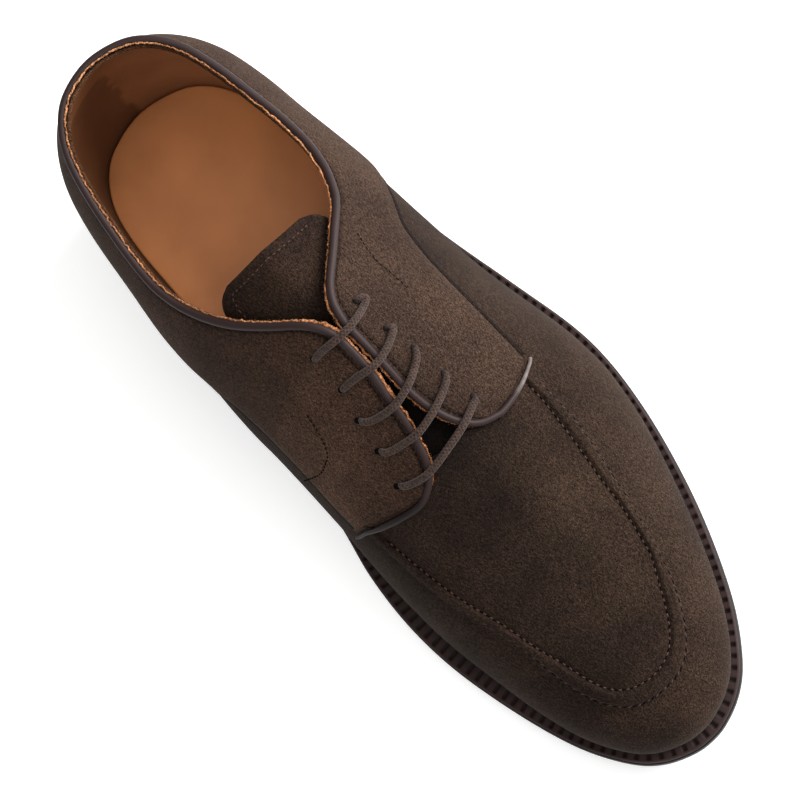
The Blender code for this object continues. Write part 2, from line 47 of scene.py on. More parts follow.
MIDDLE = (148.388, 4.581)


def table(columns, *rows):
    """Rows of numbers as named columns."""
    return dict(zip(columns.split(), np.array(rows, float).T))


# Thickness of the pieces
OUTSOLE = 5.5
WELT = 3.0
TOP_PIECE = 6.0
WALL = 2.0
QUARTER = 1.4
TONGUE = 2.0
BEAD = 3.0
LACE = 3.0

# Places along the shoe, measured from the back of the heel
LENGTH = 298.0
TOE_OFFSET = -1.6
HEEL_BREAST = 79.0
BACK_SEAM = 0.0006
RIDGE_BACK = 34.0
RIDGE_FRONT = 258.0
RIDGE_EASE = (7.0, 9.0)
THROAT = 182.5
TONGUE_TOP = 98.6
TONGUE_BOW = 6.7
TONGUE_SPAN = 28.5
TONGUE_ROUND = 0.66
TONGUE_ROUND_FADE = (135.0, 155.0)
TONGUE_DROP = 4.5
TONGUE_DROP_FADE = (120.0, 165.0)
TONGUE_ROOT = 200.0
QUARTER_FRONT = {"lateral": 183.9, "medial": 188.4}
QUARTER_CORNER = {"lateral": 9.2, "medial": 12.0}
THROAT_HALF = {"lateral": 11.0, "medial": 8.0}
LIMIT_FRONT = 170.0
RIM_MIX = (100.0, 111.0)
NEAR = 0.01

# Outline of the sole from above: half width of each side and how far the welt stands out
SOLE = table(
    "length lateral medial lateral_welt medial_welt",
    (4.0, 17.5, 17.0, 3.0, 3.0),
    (12.0, 28.0, 27.2, 3.0, 3.0),
    (24.0, 34.8, 33.8, 3.0, 3.0),
    (40.0, 38.2, 36.8, 3.0, 3.0),
    (60.0, 40.4, 37.6, 3.0, 3.0),
    (85.0, 44.6, 37.9, 3.2, 2.6),
    (110.0, 49.1, 38.6, 3.6, 2.6),
    (135.0, 54.6, 41.6, 4.4, 4.0),
    (160.0, 59.5, 46.4, 4.8, 5.8),
    (178.0, 60.3, 49.9, 5.0, 6.6),
    (198.0, 58.0, 51.2, 5.0, 6.8),
    (218.0, 53.6, 49.8, 5.0, 6.8),
    (238.0, 47.6, 45.7, 5.0, 6.6),
    (258.0, 39.7, 39.9, 5.0, 6.0),
    (273.0, 32.1, 33.8, 5.0, 5.5),
    (286.0, 22.8, 25.6, 5.0, 5.2),
    (293.0, 14.6, 17.9, 5.0, 5.0),
    (297.0, 5.6, 8.8, 5.0, 5.0),
)

# Height of the underside of the outsole: heel seat, arch, flat tread and toe spring
UNDERSIDE = table(
    "length height",
    (0.0, 23.0),
    (40.0, 22.0),
    (79.0, 19.4),
    (102.0, 13.2),
    (125.0, 6.0),
    (147.0, 1.5),
    (166.0, 0.0),
    (216.0, 0.0),
    (250.0, 1.8),
    (275.0, 5.0),
    (298.0, 10.0),
)

# Ridge of the last: height above the floor and sideways offset
RIDGE = table(
    "length height offset",
    (34.0, 121.0, 0.0),
    (75.0, 119.0, 0.0),
    (99.0, 114.0, 0.0),
    (110.0, 110.5, 0.0),
    (122.0, 106.5, 0.2),
    (138.0, 100.0, 1.0),
    (155.0, 91.0, 1.0),
    (172.0, 81.0, 1.0),
    (187.0, 72.5, 0.8),
    (205.0, 63.5, 0.4),
    (222.0, 56.3, 0.6),
    (240.0, 50.3, 0.6),
    (258.0, 46.0, -0.4),
)

# Ribs of the last: how far each side bellies out, how high, and how roof-like the crown is
FORM = table(
    "length lateral_belly medial_belly lateral_rise medial_rise lateral_crown medial_crown",
    (0.0, 2.2, 2.2, 22.0, 22.0, 0.80, 0.80),
    (20.0, 3.0, 3.0, 22.0, 22.0, 0.82, 0.82),
    (40.0, 3.4, 4.0, 22.5, 22.5, 0.86, 0.86),
    (60.0, 3.6, 5.6, 23.0, 23.0, 0.92, 0.92),
    (85.0, 3.0, 7.6, 23.5, 23.5, 1.00, 1.00),
    (110.0, 1.4, 8.0, 21.5, 23.5, 0.95, 0.95),
    (122.0, 0.6, 7.8, 18.0, 22.5, 0.90, 0.90),
    (135.0, 0.2, 6.6, 12.5, 20.5, 0.80, 0.80),
    (155.0, 0.5, 4.4, 9.5, 17.0, 0.70, 0.69),
    (172.0, 1.4, 2.4, 9.5, 13.5, 0.63, 0.61),
    (187.0, 2.3, 1.2, 10.5, 11.5, 0.59, 0.56),
    (205.0, 2.4, 0.6, 10.0, 10.0, 0.54, 0.51),
    (230.0, 1.9, 0.9, 9.0, 9.0, 0.50, 0.48),
    (258.0, 2.1, 1.9, 8.5, 8.5, 0.47, 0.46),
    (280.0, 2.4, 2.3, 8.5, 8.5, 0.44, 0.44),
    (294.0, 1.8, 1.8, 8.5, 8.5, 0.43, 0.43),
)

# Topline of the collar: height above the floor against the length at the feather line
COLLAR = table(
    "length height",
    (0.0, 97.5),
    (12.0, 96.3),
    (26.0, 93.5),
    (42.0, 90.2),
    (53.0, 88.0),
    (64.5, 86.0),
    (76.5, 85.2),
    (88.0, 86.0),
    (99.3, 88.5),
    (111.0, 93.6),
)

# Facing edges: distance of each from the ridge, seen from above
FACING = table(
    "length lateral medial",
    (104.0, 24.6, 25.2),
    (108.0, 21.9, 22.7),
    (112.0, 18.8, 20.0),
    (118.0, 13.8, 15.4),
    (122.0, 10.2, 12.0),
    (126.0, 6.8, 8.3),
    (132.0, 3.5, 3.7),
    (138.0, 2.4, 1.3),
    (142.0, 2.5, 0.9),
    (147.0, 2.7, 0.9),
    (152.0, 2.8, 1.2),
    (161.0, 2.8, 2.7),
    (167.0, 3.4, 3.5),
    (173.0, 5.1, 4.9),
    (180.0, 9.2, 7.1),
    (183.0, 13.8, 8.7),
    (183.9, 19.0, 9.4),
    (187.6, 20.0, 14.8),
    (188.4, 20.0, 18.0),
)

# Lower edge of each quarter: height over the floor by the distance behind its front
QUARTER_EDGE = table(
    "behind lateral medial",
    (0.0, 69.7, 67.4),
    (0.6, 68.7, 66.1),
    (1.8, 67.2, 64.2),
    (4.0, 64.9, 60.7),
    (6.7, 62.6, 56.4),
    (9.2, 60.8, 52.7),
    (12.0, 61.4, 46.7),
    (20.0, 63.5, 47.3),
    (33.0, 65.6, 51.2),
    (46.0, 67.4, 54.9),
    (66.0, 68.8, 58.8),
    (80.0, 62.8, 54.8),
    (96.0, 51.2, 46.8),
    (116.0, 40.0, 38.8),
    (132.0, 33.6, 33.2),
    (144.0, 32.2, 32.0),
)
QUARTER_LOWEST = -0.96

# Apron seam: inner and outer foot of its ridge, as shares of the reach of each rib
APRON = table(
    "length lateral_in lateral_out medial_in medial_out",
    (181.0, 0.573, 0.626, 0.775, 0.820),
    (190.0, 0.583, 0.645, 0.748, 0.795),
    (200.0, 0.583, 0.662, 0.720, 0.775),
    (215.0, 0.583, 0.660, 0.672, 0.735),
    (230.0, 0.600, 0.662, 0.606, 0.676),
    (243.0, 0.600, 0.662, 0.568, 0.647),
    (255.0, 0.552, 0.664, 0.515, 0.645),
    (264.0, 0.520, 0.652, 0.503, 0.644),
    (275.0, 0.496, 0.640, 0.496, 0.641),
    (285.0, 0.470, 0.624, 0.468, 0.620),
    (290.0, 0.453, 0.610, 0.448, 0.603),
    (293.0, 0.438, 0.583, 0.438, 0.583),
)
APRON_HEIGHT = 1.2

# Tongue: half width along the ridge
TONGUE_HALF = table(
    "length half",
    (98.6, 20.0),
    (100.3, 24.0),
    (101.9, 26.0),
    (104.5, 27.6),
    (108.0, 28.5),
    (125.0, 27.0),
    (145.0, 24.0),
    (165.0, 20.5),
    (200.0, 17.0),
)

# Eyelets of each quarter: length of the rib and place on it
EYELETS = table(
    "lateral_length lateral_place medial_length medial_place",
    (133.5, 0.769, 137.3, 0.735),
    (144.9, 0.777, 149.1, 0.752),
    (153.9, 0.763, 158.2, 0.725),
    (164.8, 0.768, 168.2, 0.712),
    (175.1, 0.760, 179.0, 0.684),
)


# Curves and tables
def smooth(x, xs, ys):
    """Monotone cubic through the rows of a table, held level beyond its ends."""
    step = np.diff(xs)
    slope = np.diff(ys) / step
    safe = np.where(slope == 0, 1.0, slope)
    after = 2 * step[1:] + step[:-1]
    before = step[1:] + 2 * step[:-1]
    turn = after / safe[:-1] + before / safe[1:]
    mean = (after + before) / np.where(turn == 0, 1.0, turn)
    inner = np.where(slope[:-1] * slope[1:] > 0, mean, 0.0)
    tangent = np.concatenate(([slope[0]], inner, [slope[-1]]))
    x = np.clip(x, xs[0], xs[-1])
    i = np.clip(np.searchsorted(xs, x, side="right") - 1, 0, len(xs) - 2)
    t = (x - xs[i]) / step[i]
    rise = (3 - 2 * t) * t * t
    lead = t * (1 - t) ** 2 * step[i] * tangent[i]
    trail = t * t * (t - 1) * step[i] * tangent[i + 1]
    return ys[i] + (ys[i + 1] - ys[i]) * rise + lead + trail


def look_up(rows, column, x, key="length"):
    """Column of a table at places along its key column."""
    return smooth(x, rows[key], rows[column])


def ramp(x, start, end):
    """Smooth step from 0 to 1."""
    t = np.clip((x - start) / (end - start), 0, 1)
    return t * t * (3 - 2 * t)


def pulse(x, middle, width):
    """Bell curve of height 1."""
    return np.exp(-(((x - middle) / width) ** 2))


def unit(vectors):
    """Vectors made one long."""
    return vectors / np.linalg.norm(vectors, axis=-1, keepdims=True)


def catmull(a, b, c, d, fine):
    """Catmull-Rom curves from each point b to its next point c, with the points around them."""
    t = (np.arange(fine) / fine)[None, :, None]
    a, b, c, d = (p[:, None, :] for p in (a, b, c, d))
    curve = b + 0.5 * t * (c - a + t * (2 * a - 5 * b + 4 * c - d + t * (3 * (b - c) + d - a)))
    return curve.reshape(-1, b.shape[-1])


def closed_spline(points, fine=40):
    """Curve through a closed row of points."""
    points = np.array(points, float)
    return catmull(*(np.roll(points, shift, 0) for shift in (1, 0, -1, -2)), fine)


def open_spline(points, fine):
    """Curve through an open row of points."""
    points = np.array(points, float)
    points = np.vstack((2 * points[0] - points[1], points, 2 * points[-1] - points[-2]))
    count = len(points) - 3
    return np.vstack((catmull(*(points[i : i + count] for i in range(4)), fine), points[-2]))


def run_along(curve):
    """Length of a curve from its start to each of its points."""
    return np.concatenate(([0.0], np.cumsum(np.linalg.norm(np.diff(curve, axis=0), axis=1))))


def by_share(curve):
    """Share of the arc length at each point of a curve."""
    run = run_along(curve)
    return run / run[-1]


def sampled(curve, at, along=None):
    """Rows of a curve at shares of its own length, or of another curve's."""
    share = by_share(curve if along is None else along)
    return np.column_stack([np.interp(at, share, column) for column in curve.T])


def sole_sides():
    """Edge of the sole of each side from toe tip to heel, and the feather line inside it."""
    lateral = np.column_stack((SOLE["length"], SOLE["lateral"]))
    medial = np.column_stack((SOLE["length"], -SOLE["medial"]))
    curve = closed_spline([(LENGTH, TOE_OFFSET), *lateral[::-1], (0.0, 0.0), *medial])
    heel = curve[:, 0].argmin()
    halves = {"lateral": curve[: heel + 1], "medial": np.vstack((curve[heel:], curve[:1]))[::-1]}
    edges, feathers = {}, {}
    for side, half in halves.items():
        out = outward(side, half)
        welt = look_up(SOLE, side + "_welt", half[:, 0])
        inset = half - out * welt[:, None]
        edges[side] = np.column_stack((by_share(half), half, out))
        feathers[side] = np.column_stack((by_share(inset), inset, out))
    return edges, feathers


def outward(side, half):
    """Outward direction at each point of one half of the outline, straight ahead at its two ends."""
    along = np.gradient(half, axis=0)
    out = np.column_stack((along[:, 1], -along[:, 0])) * SIGN[side]
    out[0] = (1.0, 0.0)
    out[-1] = (-1.0, 0.0)
    return unit(out)


def on_curve(curve, share):
    """Length, width and outward direction of a curve at a share of its own length."""
    return [np.interp(share, curve[:, 0], curve[:, k]) for k in (1, 2, 3, 4)]


EDGE, FEATHER = sole_sides()


def underside(length):
    return look_up(UNDERSIDE, "height", length)


def sole_top(length):
    return underside(length) + OUTSOLE


# The last
BELLY_CURVE = 2.2


def ridge_length(share):
    """Length of the ridge point of each rib, held back at toe and heel so that the ribs fan out."""
    feet = [on_curve(FEATHER[side], share)[0] for side in SIDES]
    length = (feet[0] + feet[1]) / 2
    front, back = RIDGE_EASE
    length = -front * np.logaddexp(-length / front, -RIDGE_FRONT / front)
    return back * np.logaddexp(length / back, RIDGE_BACK / back)


def rib(side, share):
    """Numbers of each rib, which stands upright over the line from its ridge point to its foot."""
    foot_l, foot_w = on_curve(FEATHER[side], share)[:2]
    ridge_l = ridge_length(share)
    ridge_w = look_up(RIDGE, "offset", ridge_l)
    run = np.hypot(foot_l - ridge_l, foot_w - ridge_w)
    low = sole_top(foot_l) + WELT + 2 * GAP
    belly = look_up(FORM, side + "_belly", foot_l)
    return {
        "foot": foot_l,
        "ridge": ridge_l,
        "ridge_w": ridge_w,
        "way_l": (foot_l - ridge_l) / run,
        "way_w": (foot_w - ridge_w) / run,
        "low": low,
        "belly": belly,
        "belly_z": low + look_up(FORM, side + "_rise", foot_l),
        "top": look_up(RIDGE, "height", ridge_l),
        "reach": run + belly,
        "crown": look_up(FORM, side + "_crown", foot_l),
    }


def last(side, share, place, crown=None):
    """Points of the last: place is -1 at the feather line, 0 at the belly and 1 at the ridge."""
    r = rib(side, share)
    crown = r["crown"] if crown is None else crown
    drop = np.clip(-place, 0, 1)
    turn = np.clip(place, 0, 1) * math.pi / 2
    below = r["reach"] - r["belly"] * drop**BELLY_CURVE
    above = r["reach"] * np.maximum(np.cos(turn), 0.0) ** (2 * crown)
    out = np.where(place < 0, below, above)
    fall = r["belly_z"] - (r["belly_z"] - r["low"]) * drop
    climb = r["belly_z"] + (r["top"] - r["belly_z"]) * np.sin(turn)
    height = np.where(place < 0, fall, climb)
    return np.stack((r["ridge"] + r["way_l"] * out, r["ridge_w"] + r["way_w"] * out, height), -1)


def skin(side, share, place, offset, crown=None):
    """Points of the last moved out along its normal."""
    share, place, offset = np.broadcast_arrays(*(np.asarray(v, float) for v in (share, place, offset)))
    step = 1e-3
    ahead = last(side, np.minimum(share + step, 1), place, crown)
    behind = last(side, np.maximum(share - step, 0), place, crown)
    upper = last(side, share, np.minimum(place + step, 1), crown)
    lower = last(side, share, np.maximum(place - step, -1), crown)
    normal = unit(np.cross(ahead - behind, upper - lower) * SIGN[side])
    return last(side, share, place, crown) + normal * offset[..., None]


def place_at_reach(side, share, out, crown=None):
    """Place on each rib at a distance from the ridge, seen from above."""
    r = rib(side, share)
    crown = r["crown"] if crown is None else crown
    return np.arccos(np.clip(out / r["reach"], 0, 1) ** (0.5 / crown)) * 2 / math.pi


def place_at_height(side, share, height):
    """Place on each rib at a height over the floor."""
    r = rib(side, share)
    over = height - r["belly_z"]
    climb = np.arcsin(np.clip(over / (r["top"] - r["belly_z"]), 0, 1)) * 2 / math.pi
    return np.where(over > 0, climb, over / (r["belly_z"] - r["low"]))


def rim(side, share, back=0.0, limit=None):
    """Place on each rib of the topline and, further on, of the facing edge, moved back along it."""
    r = rib(side, share)
    height = look_up(COLLAR, "height", r["foot"]) - back
    by_height = np.maximum(place_at_height(side, share, height), 0.0)
    gap = look_up(FACING, side, r["ridge"]) + back
    if limit is not None:
        gap = np.where(r["ridge"] > LIMIT_FRONT, np.minimum(gap, limit), gap)
    by_gap = place_at_reach(side, share, gap)
    mix = ramp(r["ridge"], *RIM_MIX)
    return by_height * (1 - mix) + by_gap * mix


def apron(side, share, foot):
    """Place on each rib of the inner or outer foot of the apron ridge."""
    r = rib(side, share)
    out = look_up(APRON, side + foot, r["foot"]) * r["reach"]
    return place_at_reach(side, share, out)


SHARES = np.linspace(0, 1, 2001)
RIDGE_AT = ridge_length(SHARES)


def share_at(length):
    """Share of the rib whose ridge point lies at a length."""
    return np.interp(-np.asarray(length, float), -RIDGE_AT, SHARES)


def plan_rows(curves, shares, inset, height):
    """Rows of each side, moved in from a closed curve, at a height worked out from their length."""
    rows = []
    for side in SIDES:
        length, width, out_l, out_w = on_curve(curves[side], shares[side])
        length = length - out_l * inset
        rows.append(np.column_stack((length, width - out_w * inset, height(length))))
    return rows


def even_shares(count, start=None):
    """Shares of each side from the toe, or from a place further back, to the heel."""
    start = start or {side: 0.0 for side in SIDES}
    return {side: np.linspace(start[side], 1, count) for side in SIDES}


def share_open(shares):
    """Whether each rib lies behind the throat, where the upper is open on top."""
    return ridge_length(shares) < THROAT - NEAR


def quarter_low(side, share, back=0.0):
    """Place on each rib of the lower edge of a quarter, moved back along the shoe."""
    behind = QUARTER_FRONT[side] - ridge_length(share) - back
    height = look_up(QUARTER_EDGE, side, behind, "behind")
    return np.maximum(place_at_height(side, share, height), QUARTER_LOWEST)


EVEN_PASSES = 2


def even(path, count):
    """Path made again from points at equal distances, smoothed."""
    path = sampled(path, np.linspace(0, 1, count))
    for _ in range(EVEN_PASSES):
        path[1:-1] = (path[:-2] + 2 * path[1:-1] + path[2:]) / 4
    return path


def tongue_layers(length, out):
    """Top and underside of the tongue under the facings, rounder and lower toward its free end."""
    length, out = np.broadcast_arrays(length, out)
    share = share_at(length)
    drop = TONGUE_DROP * (1 - ramp(length, *TONGUE_DROP_FADE))
    layers = []
    for depth in (0.0, TONGUE):
        halves = []
        for side in SIDES:
            own = rib(side, share)["crown"]
            crown = TONGUE_ROUND + (own - TONGUE_ROUND) * ramp(length, *TONGUE_ROUND_FADE)
            place = place_at_reach(side, share, np.abs(out), crown)
            halves.append(skin(side, share, place, -WALL - GAP - drop - depth, crown))
        layers.append(np.where((out >= 0)[..., None], *halves))
    return layers


# Meshes
MM = 0.001
MERGE = 1e-6


def to_scene(points):
    """Points of the shoe, as length, width and height in millimetres, in the frame in metres."""
    points = np.asarray(points, float).reshape(-1, 3)
    return np.column_stack((points[:, 1] - MIDDLE[1], MIDDLE[0] - points[:, 0], points[:, 2])) * MM


def make(name, shape, looks, kinds=None, marks=None, replaces=()):
    """One piece of the dressed shoe from its points and faces, riding on its only body."""
    points, faces = shape
    mesh = bpy.data.meshes.new(name)
    mesh.from_pydata(to_scene(points).tolist(), [], faces)
    for look in looks:
        mesh.materials.append(look)
    if kinds is not None:
        mesh.polygons.foreach_set("material_index", np.asarray(kinds, np.int32))
    for mark, values in (marks or {}).items():
        layer = mesh.attributes.new(mark, "FLOAT", "POINT")
        layer.data.foreach_set("value", np.asarray(values, np.float32).ravel())
    clean(mesh)
    piece = bpy.data.objects.new(name, mesh)
    bpy.context.scene.collection.objects.link(piece)
    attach(piece, "root")
    if replaces:
        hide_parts(*replaces)


def clean(mesh):
    """Doubled points merged, faces turned outward and shaded smooth."""
    shape = bmesh.new()
    shape.from_mesh(mesh)
    bmesh.ops.remove_doubles(shape, verts=shape.verts, dist=MERGE)
    bmesh.ops.recalc_face_normals(shape, faces=shape.faces)
    shape.to_mesh(mesh)
    shape.free()
    mesh.polygons.foreach_set("use_smooth", [True] * len(mesh.polygons))
    mesh.update()


def grid_faces(rows, columns, base=0, around=False):
    """Quads over a grid of points, closed across its columns if asked."""
    at = base + np.arange(rows * columns).reshape(rows, columns)
    if around:
        at = np.column_stack((at, at[:, 0]))
    quads = np.stack((at[:-1, :-1], at[1:, :-1], at[1:, 1:], at[:-1, 1:]), -1)
    return quads.reshape(-1, 4).tolist()


def shell(outer, inner):
    """Points, faces and kinds of a sheet with a wall: 0 outside, 1 inside, 2 along the edge."""
    rows, columns = outer.shape[:2]
    count = rows * columns
    at = np.arange(count).reshape(rows, columns)
    loop = np.concatenate((at[0], at[1:, -1], at[-1, -2::-1], at[-2:0:-1, 0]))
    after = np.roll(loop, -1)
    edge = np.stack((loop, after, after + count, loop + count), -1).tolist()
    sheet = grid_faces(rows, columns)
    faces = sheet + grid_faces(rows, columns, count) + edge
    kinds = [0] * len(sheet) + [1] * len(sheet) + [2] * len(edge)
    return np.vstack((outer.reshape(-1, 3), inner.reshape(-1, 3))), faces, kinds


def turns(sides):
    """Equal turns round a circle."""
    return np.arange(sides) * 2 * math.pi / sides


def capped(rings, sides):
    """Faces of a tube of rings, with flat ends."""
    ends = [list(range(sides)), list(range((rings - 1) * sides, rings * sides))]
    return grid_faces(rings, sides, around=True) + ends


def tube(path, radius, sides):
    """Points and faces of a round cord along a path."""
    along = unit(np.gradient(path, axis=0))
    across = unit(np.cross(along, (0.0, 0.0, 1.0)))
    above = np.cross(across, along)
    turn = turns(sides)[None, :, None]
    ring = np.cos(turn) * across[:, None] + np.sin(turn) * above[:, None]
    points = path[:, None] + ring * radius[:, None, None]
    return points.reshape(-1, 3), capped(len(path), sides)


def joined(parts):
    """Points and faces of several meshes as one."""
    points, faces, base = [], [], 0
    for part_points, part_faces in parts:
        points.append(part_points)
        faces.extend([[v + base for v in face] for face in part_faces])
        base += len(part_points)
    return np.vstack(points), faces


def even_steps(path, pitch, start=0.5):
    """Points at equal steps along a path, with the share of the path at each."""
    length = run_along(path)[-1]
    at = (np.arange(int(length / pitch - start)) + start) * pitch / length
    return sampled(path, at), at


# Looks
class Look:
    """A material and the shader nodes it is put together from."""

    def __init__(self, name, colour, roughness, specular, **more):
        self.material = bpy.data.materials.new(name)
        self.material.use_nodes = True
        self.tree = self.material.node_tree
        self.shader = self.tree.nodes["Principled BSDF"]
        self.fill(self.shader, Base_Color=(*colour, 1.0), Roughness=roughness)
        self.fill(self.shader, Specular_IOR_Level=specular, **more)

    def fill(self, made, **inputs):
        """Inputs of a node by name or, after an i, by number, each a value or another node's output."""
        for key, value in inputs.items():
            socket = made.inputs[int(key[1:]) if key[1:].isdigit() else key.replace("_", " ")]
            if isinstance(value, bpy.types.NodeSocket):
                self.tree.links.new(value, socket)
            else:
                socket.default_value = value

    def node(self, kind, settings=None, **inputs):
        """A shader node with its settings and inputs."""
        made = self.tree.nodes.new("ShaderNode" + kind)
        for key, value in (settings or {}).items():
            setattr(made, key, value)
        self.fill(made, **inputs)
        return made

    def math(self, operation, a, b=0.0):
        return self.node("Math", {"operation": operation}, i0=a, i1=b).outputs[0]

    def plus(self, a, b):
        return self.math("ADD", a, b)

    def times(self, a, b):
        return self.math("MULTIPLY", a, b)

    def mix(self, factor, a, b, blend="MIX"):
        """Colour mixed from two others."""
        made = self.node("Mix", {"data_type": "RGBA", "blend_type": blend}, i0=factor, i6=a, i7=b)
        return made.outputs[2]

    def spread(self, value, low, high, to_low, to_high):
        """Value moved from one range to another and held within it."""
        return self.node("MapRange", i0=value, i1=low, i2=high, i3=to_low, i4=to_high).outputs[0]

    def place(self):
        """The shoe's own coordinates."""
        return self.node("TexCoord").outputs["Object"]

    def noise(self, scale, detail=2.0, rough=0.5, stretch=(1.0, 1.0, 1.0), turn=0.0):
        """Noise over the shoe's own coordinates, in features per metre."""
        mapped = self.node("Mapping", Vector=self.place(), Scale=stretch, Rotation=(0.0, 0.0, turn))
        made = self.node("TexNoise", Vector=mapped.outputs[0], Scale=scale, Detail=detail, Roughness=rough)
        return made.outputs[0]

    def mark(self, name):
        """Value that a mesh carries under a name."""
        return self.node("Attribute", {"attribute_name": name}).outputs["Fac"]

    def kept(self, depth):
        """Share of the light that is kept where a mesh is marked dark, by painted shade or by its own darker
        edges.
        """
        return self.math("SUBTRACT", 1.0, self.times(self.mark("dark"), depth))

    def paint(self, colour, value):
        """Base colour, made lighter or darker by a value."""
        grey = self.node("CombineColor", Red=value, Green=value, Blue=value).outputs[0]
        self.fill(self.shader, Base_Color=self.mix(1.0, colour, grey, "MULTIPLY"))

    def relief(self, height, strength, depth):
        """Relief of the surface, with its depth in millimetres."""
        made = self.node("Bump", Strength=strength, Distance=depth * MM, Height=height)
        self.fill(self.shader, Normal=made.outputs[0])


def suede(name, dark, light, sheen=0.03):
    """Napped leather: patches of brushed nap, fine grain, short fibres, darker where it is marked with
    painted shade or dark edges.
    """
    look = Look(name, light, 0.95, 0.08, Sheen_Weight=sheen, Sheen_Roughness=0.32, Sheen_Tint=SHEEN_TINT)
    brushed = look.plus(look.noise(17.0), look.noise(48.0, detail=3.0, rough=0.6))
    patch = look.spread(brushed, 0.78, 1.22, 0.0, 1.0)
    grain = look.noise(2500.0, rough=0.7)
    fibre = look.noise(1900.0, rough=0.6, stretch=(1.0, 0.42, 0.8), turn=0.6)
    nap = look.spread(grain, 0.32, 0.68, 0.15, 1.85)
    lay = look.spread(fibre, 0.3, 0.7, 0.4, 1.6)
    value = look.times(look.times(nap, lay), look.kept(0.85))
    look.paint(look.mix(patch, (*dark, 1.0), (*light, 1.0)), value)
    look.relief(look.plus(grain, fibre), strength=0.6, depth=0.4)
    return look.material


def leather(name, colour, roughness, grain=900.0, depth=0.06, vary=0.12, specular=0.3):
    """Smooth leather with a fine grain and slow changes of tone, darker where it is marked with painted
    shade.
    """
    look = Look(name, colour, roughness, specular)
    tone = look.spread(look.noise(60.0, detail=3.0), 0.3, 0.7, 1.0 - vary, 1.0 + vary)
    look.paint((*colour, 1.0), look.times(tone, look.kept(0.9)))
    look.relief(look.noise(grain, detail=3.0, rough=0.6), 0.4, depth)
    return look.material


def bead_leather():
    """Smooth dark binding, paler with a painted highlight along its lateral front edge and darker with
    painted shade where it is marked.
    """
    look = Look("binding_leather", BEAD_COLOUR, 0.55, 0.18)
    # Painted highlight along the lateral front edge, broken up by noise
    highlight_break = look.spread(look.noise(420.0, detail=3.0), 0.3, 0.62, 0.35, 1.0)
    highlight = look.times(look.mark("pale"), highlight_break)
    look.paint(look.mix(highlight, (*BEAD_COLOUR, 1.0), (*BEAD_HIGHLIGHT, 1.0)), look.kept(0.6))
    look.relief(look.noise(700.0), strength=0.35, depth=0.08)
    return look.material


def braid():
    """Waxed round braid: strands crossing both ways round the cord, fuzzy and uneven."""
    look = Look("lace_braid", LACE_COLOUR, 0.8, 0.12, Sheen_Weight=0.08)
    along = look.times(look.mark("along"), 5.2)
    waves = []
    for strands in (4.0, -4.0):
        twist = look.times(look.mark("around"), strands)
        waves.append(look.math("SINE", look.plus(along, twist)))
    weave = look.math("MAXIMUM", *waves)
    fuzz = look.noise(1300.0, detail=3.0, rough=0.7)
    strand = look.spread(weave, 0.0, 1.0, 0.7, 1.2)
    tone = look.times(strand, look.spread(fuzz, 0.3, 0.7, 0.35, 1.65))
    look.paint((*LACE_COLOUR, 1.0), look.times(tone, look.kept(0.85)))
    look.relief(look.plus(weave, fuzz), strength=0.5, depth=0.2)
    return look.material


def sole_look(name, colour, roughness, layers=0.0):
    """Dressed edge of the sole, with fine level lines where it is stacked."""
    look = Look(name, colour, roughness, 0.15)
    height = look.noise(500.0, detail=3.0)
    if layers:
        level = look.node("SeparateXYZ", Vector=look.place()).outputs[2]
        line = look.math("SINE", look.times(level, layers))
        height = look.plus(height, look.spread(line, 0.85, 1.0, 0.0, -2.0))
    look.relief(height, strength=0.4, depth=0.08)
    return look.material


SHEEN_TINT = (1.0, 0.76, 0.60, 1.0)
LACE_COLOUR = (0.036, 0.0208, 0.0160)
BEAD_COLOUR = (0.021, 0.0112, 0.0105)
# Colour of the painted highlight on the bead's lateral front edge
BEAD_HIGHLIGHT = (0.135, 0.11, 0.102)
UPPER_LOOK = suede("upper_suede", (0.0137, 0.0081, 0.0058), (0.0270, 0.0159, 0.0104))
# The quarters' suede in two copies, the medial one lighter and warmer: its warmer tone is the leather's own,
# its extra lightness is painted light on the side the lamps light less
QUARTER_LOOKS = {
    "lateral": suede("lateral_suede", (0.0255, 0.0148, 0.0104), (0.0395, 0.0230, 0.0153)),
    "medial": suede("medial_suede", (0.0318, 0.0174, 0.0118), (0.0560, 0.0305, 0.0194)),
}
TONGUE_LOOK = suede("tongue_suede", (0.0142, 0.0078, 0.0056), (0.0260, 0.0146, 0.0094), 0.05)
# Darker suede without sheen for the quarters' lower edges: partly the cut edge's own colour, partly painted
# shade along the step onto the vamp
SEAM_LOOK = suede("seam_suede", (0.0085, 0.0050, 0.0038), (0.0125, 0.0074, 0.0054), 0.0)
LINING_LOOK = leather("lining_leather", (0.27, 0.112, 0.046), 0.6)
EDGE_LOOK = suede("raw_edge", (0.22, 0.088, 0.036), (0.42, 0.19, 0.088), 0.1)
INSOLE_LOOK = leather("insole_leather", (0.52, 0.204, 0.071), 0.5, 1400.0, 0.05, 0.08)
BEAD_LOOK = bead_leather()
LACE_LOOK = braid()
WELT_LOOK = leather("welt_leather", (0.0285, 0.0165, 0.0150), 0.65, 700.0, 0.05, 0.2, 0.12)
SOLE_LOOK = sole_look("sole_edge", (0.0095, 0.0070, 0.0066), 0.5)
HEEL_LOOK = sole_look("heel_stack", (0.016, 0.0115, 0.0105), 0.42, 1450.0)
RUBBER_LOOK = sole_look("top_piece_rubber", (0.012, 0.012, 0.012), 0.75)
THREAD_LOOK = Look("thread", (0.066, 0.036, 0.029), 0.8, 0.15).material
DARK_THREAD_LOOK = Look("dark_thread", (0.006, 0.0038, 0.0032), 0.9, 0.05).material
# Near-black look that stands for painted shade: in the needle holes, the eyelets and at the throat
PAINTED_SHADE_LOOK = Look("painted_shade_black", (0.004, 0.003, 0.003), 1.0, 0.0).material


